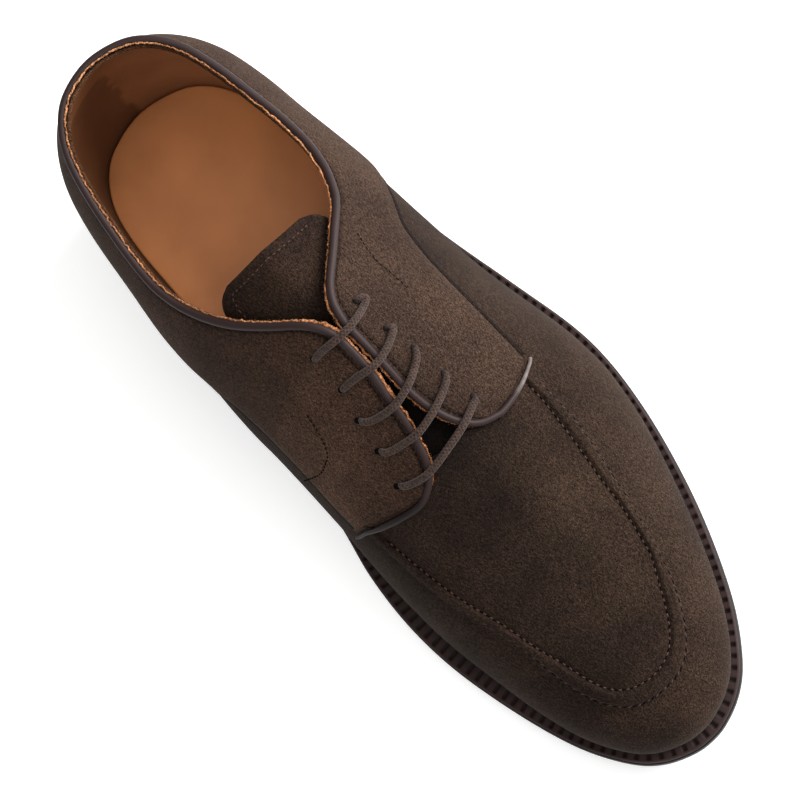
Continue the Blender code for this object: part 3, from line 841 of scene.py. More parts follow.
# Upper: rows of points up each rib, and ribs ahead of the throat and behind it
BELOW_ROWS, WALL_ROWS, BAND_ROWS, TOP_ROWS = 8, 14, 14, 28
TOE_RIBS, BACK_RIBS = 170, 110

# Apron seam: where its rows and its ridge set in, shares of the rows behind it, grooves and the painted
# shade in them
SEAM_AHEAD = (140.0, 165.0)
SEAM_FADE = (160.0, 168.0)
OUTER_SHARE, INNER_SHARE = 0.45, 0.6
GROOVE = 0.25
# Painted shade in the grooves at both feet of the seam's ridge; the whole band is also a little darker
SEAM_SHADE = 0.25
BAND_SHADE = (0.07, 0.2)

# Apron seam across its strips: top of the wall, feet and crest of the band, foot of the plug
WALL_GROOVE, WALL_DARK = (0.85, 1.0), (0.88, 1.0)
CREST_UP, CREST_DOWN = (0.0, 0.32), (0.74, 1.0)
BAND_OUTER, BAND_INNER, BAND_DARK = (0.0, 0.12), (0.88, 1.0), (0.85, 1.0)
PLUG_GROOVE, PLUG_DARK = (0.0, 0.06), (0.0, 0.05)

# Painted shade on the upper: at its foot, on the plug and on the medial wall, and where along the shoe and
# up the rib it fades
FOOT_SHADE = 0.5
PLUG_SHADE = 0.56
PLUG_FADE = (195.0, 255.0)
PLUG_RISE = {"lateral": (0.3, 0.95), "medial": (0.55, 1.2)}
WALL_SHADE = {"lateral": 0.0, "medial": 0.43}
WALL_FADE = (250.0, 215.0)

# Cut edge, tan behind the throat, painted shade at the throat and along the top row up to it, and the
# thinner wall under the quarters
THROAT_EDGE = 0.5
BARE_EDGE = 178.0
THIN = 1.2
THIN_RISE = (0.1, 0.35)


def upper_grid(side, shares):
    """Places, lift and darkness over the upper, most of it painted shade, with the raised apron seam and its
    stitched groove.
    """
    ridge = ridge_length(shares)
    end = np.where(share_open(shares), rim(side, shares, limit=THROAT_HALF[side]), 1.0)
    ahead = ramp(ridge, *SEAM_AHEAD)
    outer = end * OUTER_SHARE * (1 - ahead) + apron(side, shares, "_out") * ahead
    inner = end * INNER_SHARE * (1 - ahead) + apron(side, shares, "_in") * ahead
    fade = ramp(ridge, *SEAM_FADE)
    # Painted shade on the plug toward the throat, and painted shadow on the medial wall toward the back
    plug_shade = PLUG_SHADE * (1 - ramp(ridge, *PLUG_FADE))
    wall_shade = WALL_SHADE[side] * ramp(ridge, *WALL_FADE)
    rows = []
    # Rows below the belly, with painted shade toward the feather line
    for t in np.arange(BELOW_ROWS) / BELOW_ROWS:
        rows.append((t - 1.0 + 0 * end, 0 * end, wall_shade + FOOT_SHADE * (1 - t) ** 3))
    for t in np.arange(WALL_ROWS) / WALL_ROWS:
        dark = SEAM_SHADE * fade * ramp(t, *WALL_DARK) + wall_shade
        rows.append((outer * t, -GROOVE * fade * ramp(t, *WALL_GROOVE), dark))
    for t in np.arange(BAND_ROWS + 1) / BAND_ROWS:
        crest = ramp(t, *CREST_UP) * (1 - ramp(t, *CREST_DOWN))
        foot = GROOVE * (1 - ramp(t, *BAND_OUTER)) + GROOVE * ramp(t, *BAND_INNER)
        dark = fade * (BAND_SHADE[0] + BAND_SHADE[1] * ramp(t, *BAND_DARK))
        rows.append((outer + (inner - outer) * t, fade * (APRON_HEIGHT * crest - foot), dark))
    for t in np.arange(1, TOP_ROWS + 1) / TOP_ROWS:
        dark = SEAM_SHADE * fade * (1 - ramp(t, *PLUG_DARK)) + plug_shade * ramp(t, *PLUG_RISE[side])
        rows.append((inner + (end - inner) * t, -GROOVE * fade * (1 - ramp(t, *PLUG_GROOVE)), dark))
    places, lift, dark = np.array(rows).transpose(1, 2, 0)
    # Painted shade along the top row, up to just ahead of the throat
    dark[:, -1] = np.where(ridge < THROAT + THROAT_EDGE, 1.0, dark[:, -1])
    return places, lift, dark


def upper_sheets(shares):
    """Outside, inside and darkness of both sides of the upper, which meet where it is closed."""
    parted = share_open(shares)
    outer, inner, dark = {}, {}, {}
    for side in SIDES:
        places, lift, dark[side] = upper_grid(side, shares)
        outer[side] = skin(side, shares[:, None], places, lift)
        thin = -THIN - (WALL - THIN) * (1 - ramp(places, *THIN_RISE))
        inner[side] = skin(side, shares[:, None], places, np.where(parted[:, None], thin, -WALL))
    for sheets in (outer, inner):
        for at in ((0, slice(None)), (-1, slice(None)), (~parted, -1)):
            middle = (sheets["lateral"][at] + sheets["medial"][at]) / 2
            for side in SIDES:
                sheets[side][at] = middle
    return outer, inner, dark


def make_upper():
    throat = share_at(THROAT)
    shares = np.concatenate((np.linspace(0, throat, TOE_RIBS), np.linspace(throat, 1, BACK_RIBS)[1:]))
    outer, inner, dark = upper_sheets(shares)
    closed = ~share_open(shares)
    bare = ridge_length(shares) < BARE_EDGE
    parts, shown_kinds, marks = [], [], []
    for side in SIDES:
        shape = outer[side].shape[:2]
        points, faces, kinds = shell(outer[side], inner[side])
        shown = []
        for face, kind in zip(faces, kinds):
            if kind == 2:
                ribs, ends = np.unravel_index(np.array(face) % (shape[0] * shape[1]), shape)
                if sides_meet(ribs, ends, shape, closed):
                    continue
                # Cut edge tan behind the throat, painted shade from there on
                kind = 2 if bare[ribs[0]] else 3
            shown.append(face)
            shown_kinds.append(kind)
        parts.append((points, shown))
        marks.append(np.tile(dark[side].ravel(), 2))
    looks = [UPPER_LOOK, LINING_LOOK, EDGE_LOOK, PAINTED_SHADE_LOOK]
    marks = {"dark": np.concatenate(marks)}
    make("upper_suede", joined(parts), looks, shown_kinds, marks, ["upper"])


def sides_meet(ribs, ends, shape, closed):
    """Whether a face along the edge of one side of the upper lies where its two sides meet."""
    if set(ribs) in ({0}, {shape[0] - 1}):
        return True
    return set(ends) == {shape[1] - 1} and closed[ribs].all()


# Quarters: rows of points from the lower edge to the rim, and ribs from the nose to the back
EDGE_STEPS = np.array((0.0, 0.006, 0.012, 0.019, 0.027, 0.036, 0.046, 0.057, 0.069, 0.083, 0.1, 0.125))
LOWER_STEPS = np.linspace(0.16, 1, 24)
UPPER_STEPS = np.linspace(1, 2, 34)[1:]
LOWER_SHARE = 0.35
NOSE = {"lateral": 0.7, "medial": 1.5}
NOSE_RIBS, QUARTER_RIBS = 40, 170
RIM_BACK = 0.6

# Painted shade toward the back of the medial quarter, skived lower edge, and the stitched grooves along edge
# and rim
QUARTER_SHADE = {"lateral": 0.0, "medial": 0.45}
QUARTER_FADE = (105.0, 145.0)
SKIVED = 1.2
SKIVE = 4.0
EDGE_INSET, EDGE_GROOVE, EDGE_WIDE = 1.7, 0.25, 0.5
RIM_INSET, RIM_GROOVE, RIM_WIDE = 1.6, 0.5, 0.8
# Cut edge and stitched grooves darker: partly their own colour, partly painted shade along the step onto the
# vamp and in the grooves
EDGE_DARK = 0.5
RIM_DARK, RIM_DARK_WIDE = 0.45, 0.7
CUT_DARK, CUT_WIDE = 0.6, 0.4
INNER_LIFT = 0.05
SEAM_WIDE = 1.5


def quarter_columns(side):
    """Ribs of a quarter, close together round its nose."""
    ends = [QUARTER_FRONT[side], QUARTER_FRONT[side] - QUARTER_CORNER[side]]
    front, corner = (share_at(end - NOSE[side]) for end in ends)
    rest = np.linspace(corner, 1 - BACK_SEAM / 4, QUARTER_RIBS)[1:]
    return np.concatenate((np.linspace(front, corner, NOSE_RIBS), rest))


def quarter_places(side, shares):
    """Places over a quarter, close together along its lower edge."""
    low = quarter_low(side, shares, NOSE[side])
    top = np.maximum(rim(side, shares, RIM_BACK), low + NEAR)
    middle = np.maximum(low + (top - low) * LOWER_SHARE, 0.0)
    steps = np.concatenate((EDGE_STEPS, LOWER_STEPS, UPPER_STEPS))
    places = low[:, None] + (middle - low)[:, None] * np.minimum(steps, 1.0)
    return places + (top - middle)[:, None] * np.maximum(steps - 1.0, 0.0)


def quarter_height(run):
    """Height of a quarter over the upper, skived toward its lower edge."""
    return LAID + QUARTER - SKIVED * pulse(run, 0.0, SKIVE)


def make_quarter(side):
    shares = quarter_columns(side)
    ribs = shares[:, None]
    places = quarter_places(side, shares)
    steps = np.linalg.norm(np.diff(last(side, ribs, places), axis=1), axis=2)
    run = np.column_stack((np.zeros(len(shares)), np.cumsum(steps, axis=1)))
    rest = run[:, -1:] - run
    height = quarter_height(run) - RIM_GROOVE * pulse(rest, RIM_INSET, RIM_WIDE)
    height -= EDGE_GROOVE * pulse(run, EDGE_INSET, EDGE_WIDE)
    # Dark cut edge and grooves, partly painted shade, and painted shade toward the back of the medial
    # quarter
    dark = CUT_DARK * pulse(run, 0.0, CUT_WIDE) + RIM_DARK * pulse(rest, RIM_INSET, RIM_DARK_WIDE)
    dark += EDGE_DARK * pulse(run, EDGE_INSET, EDGE_WIDE)
    dark += QUARTER_SHADE[side] * (1 - ramp(ridge_length(ribs), *QUARTER_FADE))
    outer, inner = skin(side, ribs, places, height), skin(side, ribs, places, INNER_LIFT)
    points, faces, kinds = shell(outer, inner)
    nose = np.arange(len(shares)) < NOSE_RIBS
    inside = ((run > SEAM_WIDE) | nose[:, None]).ravel()
    # A strip along the lower edge takes the darker seam suede: partly its own colour, partly painted shade
    # along the step
    kinds = [kind if kind or inside[face[0]] else 3 for face, kind in zip(faces, kinds)]
    looks = [QUARTER_LOOKS[side], LINING_LOOK, SEAM_LOOK, SEAM_LOOK]
    marks = {"dark": np.tile(dark.ravel(), 2)}
    name = "quarter_" + side
    make(name + "_suede", (points, faces), looks, kinds, marks, [name])


# Binding: its bead, thin at both ends, with a painted highlight at the lateral front and painted shade at
# the medial end
BEAD_SHOWN = 2.8
BEAD_POINTS, NOSE_POINTS, RIM_POINTS = 760, 60, 400
BEAD_SIDES = 12
BEAD_SHARES = (0.42, 0.44, 0.14)
BEAD_THIN, BEAD_FULL = (2.0, 24.0), (70.0, 95.0)
# How far the painted highlight reaches from the lateral front, and the painted shade from the medial end
BEAD_PALE = (9.0, 17.0)
BEAD_DARK = (45.0, 28.0)
BEAD_CROWD = 1.5
CORNER_REACH, CORNER_PASSES, BACK_PASSES = 9.0, 50, 5


def to_back(front, count, crowd, end=1.0):
    """Shares from a rib to the back, closer together at the front."""
    return front + (end - front) * np.linspace(0, 1, count) ** crowd


def make_binding():
    """Bead of the binding, with a painted highlight along the front of the lateral quarter and painted shade
    at its medial end.
    """
    lateral, medial = fine_bead("lateral"), fine_bead("medial")
    path = even(np.vstack((lateral, medial[-2::-1])), BEAD_POINTS)
    run = run_along(path)
    path = eased(path, run, run[-1] / 2, run[-1], BACK_PASSES)
    corner = run[-1] - run_along(medial[:NOSE_POINTS])[-1]
    path = eased(path, run, corner, CORNER_REACH, CORNER_PASSES)
    left = run[-1] - run
    ends = np.minimum(run, left)
    end, more, most = BEAD_SHARES
    radius = BEAD_SHOWN / 2 * (end + more * ramp(ends, *BEAD_THIN) + most * ramp(ends, *BEAD_FULL))
    # pale is the painted highlight at the lateral front, dark the painted shade at the medial end
    shades = {"pale": 1 - ramp(run, *BEAD_PALE), "dark": ramp(left, *BEAD_DARK)}
    marks = {mark: np.repeat(shade, BEAD_SIDES) for mark, shade in shades.items()}
    make("binding_bead", tube(path, radius, BEAD_SIDES), [BEAD_LOOK], None, marks, ["binding"])


def eased(path, run, spot, reach, passes):
    """Path rounded off within reach of one of its places."""
    near = pulse(run, spot, reach)[1:-1, None]
    for _ in range(passes):
        path[1:-1] += near * (path[:-2] - 2 * path[1:-1] + path[2:]) / 4
    return path


def fine_bead(side):
    """Path of the bead with many points, from the corner of a quarter to the back."""
    front = share_at(QUARTER_FRONT[side])
    corner = share_at(QUARTER_FRONT[side] - QUARTER_CORNER[side])
    lift = GAP + BEAD / 2
    up = np.linspace(corner, front, NOSE_POINTS)
    shares = to_back(front, RIM_POINTS, BEAD_CROWD)
    low, high = skin(side, up, quarter_low(side, up), lift), skin(side, shares, rim(side, shares), lift)
    return np.vstack((low, high[1:]))


# Raw edge of the lining: thin round the collar, broader beside the laces
RAW_FRONT = 1.5
RAW_INSIDE, RAW_LIFT, RAW_LIMIT = 1.3, 0.9, 0.998
RAW_RIBS, RAW_CROWD, RAW_POINTS, RAW_SIDES = 420, 1.3, 620, 6
RAW_HALF, RAW_BROAD = 0.30, {"lateral": 0.12, "medial": 0.42}
RAW_RISE, RAW_FALL = (122.0, 132.0), (158.0, 172.0)
RAW_SEED = 7
RAW_UNEVEN, RAW_BOUNDS, RAW_SHAKE = 0.4, (0.5, 1.6), 0.22
UNEVEN_SPAN, SHAKE_SPAN = 5, 3
FIBRE_PITCH, FIBRE_THICK, FIBRE_BEND = 0.2, 0.05, 0.25
FIBRE_LONG, FIBRE_MIDDLE = (0.4, 1.2), 0.55
FIBRE_SPREAD, FIBRE_LEAN = (0.8, 0.7, 0.35), (0.0, -0.5, 0.3)
FIBRE_ASIDE = (0.3, 0.5, 0.8)


def edge_path(side):
    """Path and half width of the raw edge just inside the bead, from a quarter's nose to the back."""
    front = share_at(QUARTER_FRONT[side] - RAW_FRONT)
    shares = to_back(front, RAW_RIBS, RAW_CROWD)
    path = skin(side, shares, np.minimum(rim(side, shares, -RAW_INSIDE), RAW_LIMIT), RAW_LIFT)
    ridge = ridge_length(shares)
    broad = ramp(ridge, *RAW_RISE) * (1 - ramp(ridge, *RAW_FALL))
    return even(np.column_stack((path, RAW_HALF + RAW_BROAD[side] * broad)), RAW_POINTS)


def averaged(values, width):
    """Running mean over the rows of an array."""
    return np.apply_along_axis(np.convolve, 0, values, np.ones(width) / width, "valid")


def make_lining_edge():
    """Raw edge of the lining and the fibres that stand out of it."""
    draw = np.random.default_rng(RAW_SEED)
    parts = []
    for side in SIDES:
        path = edge_path(side)
        uneven = averaged(draw.standard_normal(len(path) + UNEVEN_SPAN - 1), UNEVEN_SPAN)
        radius = path[:, 3] * (1 + RAW_UNEVEN * uneven).clip(*RAW_BOUNDS)
        shake = averaged(draw.normal(0.0, RAW_SHAKE, (len(path) + SHAKE_SPAN - 1, 3)), SHAKE_SPAN)
        parts.append(tube(path[:, :3] + shake, radius, RAW_SIDES))
        lean = np.multiply(FIBRE_LEAN, (1.0, SIGN[side], 1.0))
        for root in even_steps(path[:, :3], FIBRE_PITCH)[0]:
            way = draw.normal(0.0, 1.0, 3) * FIBRE_SPREAD + lean
            way = unit(way) * draw.uniform(*FIBRE_LONG)
            parts.append(fibre(root, way, draw.normal(0.0, FIBRE_BEND, 3)))
    make("lining_edge", joined(parts), [EDGE_LOOK])


def fibre(root, way, bend):
    """Thin three-sided fibre, tapered to a point and bent once."""
    side = unit(np.cross(way, FIBRE_ASIDE)) * FIBRE_THICK
    other = unit(np.cross(way, side)) * FIBRE_THICK
    ring = np.array((side, -side / 2 + other, -side / 2 - other))
    points = np.vstack((root + ring, root + way * FIBRE_MIDDLE + ring / 2, root + way + bend))
    faces = [[0, 1, 4, 3], [1, 2, 5, 4], [2, 0, 3, 5], [3, 4, 6], [4, 5, 6], [5, 3, 6], [0, 2, 1]]
    return points, faces


# Tongue
TONGUE_ROWS, TONGUE_COLUMNS = 90, 61
TONGUE_PASSES = 50
TONGUE_CROWD = 1.3
# Painted shade on the tongue where it lies deep under the facings, growing from the first length to full at
# the second
TONGUE_DARK = (118.0, 150.0)


def tongue_sheet(run, across):
    """Length and distance from the ridge over the tongue, whose top edge is bowed forward in the middle."""
    length = TONGUE_TOP + (TONGUE_ROOT - TONGUE_TOP) * run**TONGUE_CROWD
    out = look_up(TONGUE_HALF, "half", length) * across
    return length + TONGUE_BOW * (1 - (out / TONGUE_SPAN) ** 2) * (1 - run), out


def rounded(layer):
    """Sheet smoothed across its columns, with its two edges kept."""
    for _ in range(TONGUE_PASSES):
        layer[:, 1:-1] = (layer[:, :-2] + 2 * layer[:, 1:-1] + layer[:, 2:]) / 4
    return layer


def make_tongue():
    runs, across = np.linspace(0, 1, TONGUE_ROWS), np.linspace(-1, 1, TONGUE_COLUMNS)
    lengths, outs = tongue_sheet(runs[:, None], across)
    outer, inner = (rounded(layer) for layer in tongue_layers(lengths, outs))
    points, faces, kinds = shell(outer, inner)
    # Painted shade, growing toward the toe under the facings
    deep = ramp(lengths, *TONGUE_DARK).ravel()
    marks = {"dark": np.tile(deep, 2)}
    make("tongue_suede", (points, faces), [TONGUE_LOOK] * 3, kinds, marks, ["tongue"])


# Laces: each bar comes out of its medial eyelet and goes down into the lateral one
LACE_SHOWN = 2.6
LACE_SIDES = 14
LACE_FINE = 12
LACE_SINK, LACE_TURN, LACE_CLEAR = 1.8, 0.2, 0.12
LACE_SETTLE, LACE_SETTLE_REACH = 0.55, (0.5, 0.3)
LACE_THIN, LACE_THIN_REACH = 0.68, (0.5, 6.0)
# Painted shade on the ends of each bar, where they go down into the eyelets
LACE_DARK = (1.2, 4.0)
BEAD_SLOPE = (0.5, 5.5)
RIB_ROUNDS = 4
HOLE_LIFT, HOLE_RADIUS, HOLE_SIDES = 0.06, 1.15, 12
HOLE_ASIDE = (0.2, 0.9, 0.4)

# Bars of the lace: share of the way from the medial to the lateral eyelet, and bow toward the toe
LACE_BOWS = (
    ((0.10, 0.3), (0.24, 1.2), (0.40, 2.4), (0.53, 3.2), (0.72, 3.1), (0.90, 2.4), (1.02, 1.4), (1.05, 0.2)),
    ((0.10, 0.0), (0.20, 0.7), (0.33, 1.7), (0.46, 2.9), (0.57, 3.5), (0.74, 3.0), (0.90, 1.9), (1.01, 0.5)),
    ((0.08, 1.0), (0.13, 2.6), (0.22, 4.1), (0.34, 5.2), (0.46, 5.7), (0.62, 4.8), (0.78, 3.4), (0.90, 1.5)),
    ((0.08, 1.0), (0.13, 2.5), (0.25, 4.0), (0.36, 4.9), (0.46, 5.3), (0.64, 4.3), (0.82, 2.8), (0.94, 0.9)),
    ((0.08, 1.1), (0.15, 2.8), (0.26, 4.1), (0.38, 4.5), (0.56, 3.8), (0.74, 2.6), (0.90, 1.0), (0.96, 0.2)),
)


def over_quarter(length, width, lift):
    """Point seen from above at a length and width, lifted over the quarters and their bindings."""
    side = "lateral" if width > look_up(RIDGE, "offset", length) else "medial"
    share = share_at(length)
    for _ in range(RIB_ROUNDS):
        r = rib(side, share)
        out = (width - r["ridge_w"]) / r["way_w"]
        share = share_at(length - r["way_l"] * out)
    gap = look_up(FACING, side, r["ridge"])
    rise = (1 - ramp(out - gap, *BEAD_SLOPE)) * (GAP + BEAD - LAID - QUARTER)
    return skin(side, share, place_at_reach(side, share, out), LAID + QUARTER + lift + rise)


def eyelet(side, i, lift=0.0):
    """Middle of an eyelet, lifted from the outside of the quarter."""
    share = share_at(EYELETS[side + "_length"][i])
    return skin(side, share, EYELETS[side + "_place"][i], LAID + QUARTER + lift)


def lace_path(i):
    """Route of one bar, bowed toward the toe and settled on the facings in the middle."""
    start, end = eyelet("medial", i), eyelet("lateral", i)
    chord = (end - start)[:2]
    toe = unit(np.array((chord[1], -chord[0])))
    route = [eyelet("medial", i, -LACE_SINK)]
    for along, bow in LACE_BOWS[i]:
        spot = start[:2] + along * chord + bow * toe
        low = LACE_SETTLE * (1 - ramp(abs(along - 0.5), *LACE_SETTLE_REACH))
        route.append(over_quarter(*spot, LACE / 2 * (1 - low) + LACE_CLEAR))
    route.append(eyelet("lateral", i, LACE_TURN))
    route.append(eyelet("lateral", i, -LACE_SINK))
    return open_spline(route, LACE_FINE)


def make_laces():
    for i in range(len(LACE_BOWS)):
        path = lace_path(i)
        run = run_along(path)
        ends = np.minimum(run, run[-1] - run)
        radius = LACE_SHOWN / 2 * (LACE_THIN + (1 - LACE_THIN) * ramp(ends, *LACE_THIN_REACH))
        # The dark mark is painted shade at both ends, where the bar goes into its eyelets
        marks = {
            "along": np.repeat(run, LACE_SIDES),
            "around": np.tile(turns(LACE_SIDES), len(path)),
            "dark": np.repeat(1 - ramp(ends, *LACE_DARK), LACE_SIDES),
        }
        cord = tube(path, radius, LACE_SIDES)
        make(f"lace_{i + 1}", cord, [LACE_LOOK], None, marks, [f"lace_bar_{i + 1}"])


def disc(centre, normal, radius):
    """Flat round face."""
    one = unit(np.cross(normal, HOLE_ASIDE))
    two = np.cross(normal, one)
    turn = turns(HOLE_SIDES)[:, None]
    return centre + radius * (np.cos(turn) * one + np.sin(turn) * two), [list(range(HOLE_SIDES))]


def make_eyelets():
    """Dark discs in the punched holes of the eyelets, painted shade inside the holes, without rings."""
    parts = []
    for side in SIDES:
        for i in range(len(LACE_BOWS)):
            low, high = eyelet(side, i, HOLE_LIFT), eyelet(side, i, HOLE_LIFT + 1.0)
            parts.append(disc(low, high - low, HOLE_RADIUS))
    make("eyelet_holes", joined(parts), [PAINTED_SHADE_LOOK])


# Stitches, each turned and stretched a little
STITCH_SEED = 1
STITCH_RINGS, STITCH_SIDES = 5, 6
STITCH_END, STITCH_FULL = 0.08, 0.6
STITCH_TURN, STITCH_GROW = 0.06, (0.85, 1.1)


def stitch(length, width):
    """Points of one stitch lying along its first axis, and its faces."""
    share = np.linspace(0, 1, STITCH_RINGS)
    arch = np.sin(np.pi * (STITCH_END + (1 - 2 * STITCH_END) * share))
    swell = arch[:, None] ** STITCH_FULL * width / 2
    turn = turns(STITCH_SIDES)
    along = np.repeat((share - 0.5) * length, STITCH_SIDES)
    points = np.column_stack((along, (swell * np.cos(turn)).ravel(), (swell * np.sin(turn)).ravel()))
    return points, capped(STITCH_RINGS, STITCH_SIDES)


def stitch_row(path, above, pitch, length, width, slant=0.0, start=0.5):
    """Points and faces of stitches along a path on a surface whose outward direction is given."""
    draw = np.random.default_rng(STITCH_SEED)
    shape, shape_faces = stitch(length, width)
    spots, at = even_steps(path, pitch, start)
    normals = unit(sampled(above, at, path))
    parts = []
    for spot, normal, along in zip(spots, normals, np.gradient(spots, axis=0)):
        along = unit(along - normal * (along @ normal))
        turn = slant + draw.normal(0.0, STITCH_TURN)
        first = along * math.cos(turn) + np.cross(normal, along) * math.sin(turn)
        axes = np.array((first, np.cross(normal, first), normal))
        parts.append((spot + draw.uniform(*STITCH_GROW) * (shape @ axes), shape_faces))
    return joined(parts)


def row_on(side, shares, places, lift):
    """Path on the upper and its outward directions."""
    path = skin(side, shares, places, lift)
    return path, skin(side, shares, places, lift + 1.0) - path


# Rows of the apron seam: share of its ridge, lift, pitch, then length, width and slant of slots and threads
APRON_ROWS = (
    (0.0, -0.18, 2.5, (1.5, 0.62, 0.0), (1.3, 0.55, 0.0)),
    (0.97, -0.12, 3.2, (1.7, 0.6, 0.4), (1.5, 0.45, 0.5)),
)
APRON_START = {"lateral": 181.0, "medial": 184.0}
APRON_POINTS = 400


def apron_row(shift, lift):
    """Path along the apron seam from one quarter round the toe to the other, and its outward directions."""
    halves = []
    for side in SIDES:
        shares = np.linspace(0, share_at(APRON_START[side]), APRON_POINTS)
        inner, outer = apron(side, shares, "_in"), apron(side, shares, "_out")
        halves.append(row_on(side, shares, inner + (outer - inner) * shift, lift))
    return [np.vstack((lateral[::-1], medial[1:])) for lateral, medial in zip(*halves)]


def make_apron_stitches():
    """Inner and outer rows of the apron seam: sunk dark slots, painted shade in the needle holes, with
    threads between them.
    """
    slots, threads = [], []
    for shift, lift, pitch, slot, thread in APRON_ROWS:
        path, above = apron_row(shift, lift)
        slots.append(stitch_row(path, above, pitch, *slot))
        threads.append(stitch_row(path, above, pitch, *thread, start=1.0))
    # Painted shade in the needle holes of the apron seam
    make("apron_needle_slots", joined(slots), [PAINTED_SHADE_LOOK])
    make("apron_stitches", joined(threads), [THREAD_LOOK])


# Rows of stitches on the quarters: length of the rib and place on it
QUARTER_ROWS = {
    "lateral": table(
        "length place",
        (113.9, 0.50),
        (120.7, 0.53),
        (126.1, 0.55),
        (130.8, 0.56),
        (138.9, 0.58),
    ),
    "medial": table(
        "length place",
        (144.3, 0.54),
        (150.5, 0.53),
        (155.9, 0.50),
        (157.0, 0.44),
        (156.2, 0.37),
        (150.5, 0.22),
    ),
}
QUARTER_ROW_LIFT, QUARTER_ROW_FINE = 0.02, 20
PLACE_SCALE = 100

# Rows along the rim and the lower edge of each quarter: where they start and end, and how they lie
RIM_ROW_FRONT, RIM_ROW_BACK, RIM_ROW_SINK = 6.0, 2.3, 0.42
RIM_ROW_POINTS, RIM_ROW_CROWD = 600, 1.3
EDGE_ROW_FRONT, EDGE_ROW_END, EDGE_ROW_POINTS = 3.0, 70.0, 500
EDGE_STEP = 0.035

# Pitch, length and width of the stitches of each row
QUARTER_STITCH = {"lateral": (1.75, 1.15, 0.5), "medial": (1.75, 1.15, 0.7)}
RIM_STITCH = (1.9, 1.25, 0.4)
EDGE_STITCH = (2.1, 1.4, 0.55)
TONGUE_STITCH = (2.2, 1.2, 0.42)


def quarter_row(side):
    """Row across a quarter, smooth through the rows of its table."""
    rows = QUARTER_ROWS[side]
    keys = np.column_stack((rows["length"], rows["place"] * PLACE_SCALE, 0 * rows["place"]))
    curve = open_spline(keys, QUARTER_ROW_FINE)
    places = curve[:, 1] / PLACE_SCALE
    return row_on(side, share_at(curve[:, 0]), places, LAID + QUARTER + QUARTER_ROW_LIFT)


def rim_row(side):
    """Row beside the binding, from a quarter's front to the back."""
    front = share_at(QUARTER_FRONT[side] - RIM_ROW_FRONT)
    shares = to_back(front, RIM_ROW_POINTS, RIM_ROW_CROWD, 1 - BACK_SEAM)
    return row_on(side, shares, rim(side, shares, RIM_ROW_BACK), LAID + QUARTER - RIM_ROW_SINK)


def edge_row(side):
    """Row in the groove along a quarter's lower edge."""
    corner = share_at(QUARTER_FRONT[side] - QUARTER_CORNER[side] - EDGE_ROW_FRONT)
    shares = np.linspace(corner, share_at(EDGE_ROW_END), EDGE_ROW_POINTS)
    edge = quarter_low(side, shares, NOSE[side])
    step = np.linalg.norm(last(side, shares, edge + EDGE_STEP) - last(side, shares, edge), axis=1)
    places = edge + EDGE_STEP * EDGE_INSET / step
    return row_on(side, shares, places, quarter_height(EDGE_INSET) - EDGE_GROOVE)


def make_quarter_stitches():
    parts = [stitch_row(*quarter_row(side), *QUARTER_STITCH[side]) for side in SIDES]
    for side in SIDES:
        parts.append(stitch_row(*rim_row(side), *RIM_STITCH))
        parts.append(stitch_row(*edge_row(side), *EDGE_STITCH))
    make("quarter_stitches", joined(parts), [DARK_THREAD_LOOK])


# Row inside the top edge of the tongue and down its medial side, as shares of its length and half width
TONGUE_ROW_TOP, TONGUE_ROW_END, TONGUE_ROW_OUT = 0.075, 0.25, 0.8


def make_tongue_stitches():
    top, down = 60, 29
    drop = np.linspace(TONGUE_ROW_TOP, TONGUE_ROW_END, down + 1)[1:]
    runs = np.concatenate((np.full(top, TONGUE_ROW_TOP), drop))
    along_top = np.linspace(TONGUE_ROW_OUT, -TONGUE_ROW_OUT, top)
    across = np.concatenate((along_top, np.full(down, -TONGUE_ROW_OUT)))
    outer, inner = tongue_layers(*tongue_sheet(runs, across))
    row = stitch_row(outer, outer - inner, *TONGUE_STITCH)
    make("tongue_stitches", row, [THREAD_LOOK])


# Welt: wheeled notches, none round the heel, and the strip that lies under the upper
NOTCH_PITCH, NOTCH_DEPTH, NOTCH_RIM = 3.7, 0.9, 0.6
NOTCH_FLANK, NOTCH_FADE = (0.46, 0.84), (82.0, 92.0)
# Painted shade in the notches and along the welt under the edge of the upper
NOTCH_SHADE, FEATHER_SHADE = 0.55, 0.45
NOTCH_ROWS = range(4, 7)
FEATHER_ROWS = range(5)
WELT_RIBS = 1000
WELT_UNDER, WELT_INSET, WELT_REACH = 2.3, 0.7, 12.0
BEHIND_COST = 100.0


def notch(run, length):
    """Depth of the wheeled notches along the welt, none round the heel."""
    phase = np.abs((run / NOTCH_PITCH) % 1.0 - 0.5) * 2
    return NOTCH_DEPTH * ramp(phase, *NOTCH_FLANK) * ramp(length, *NOTCH_FADE)


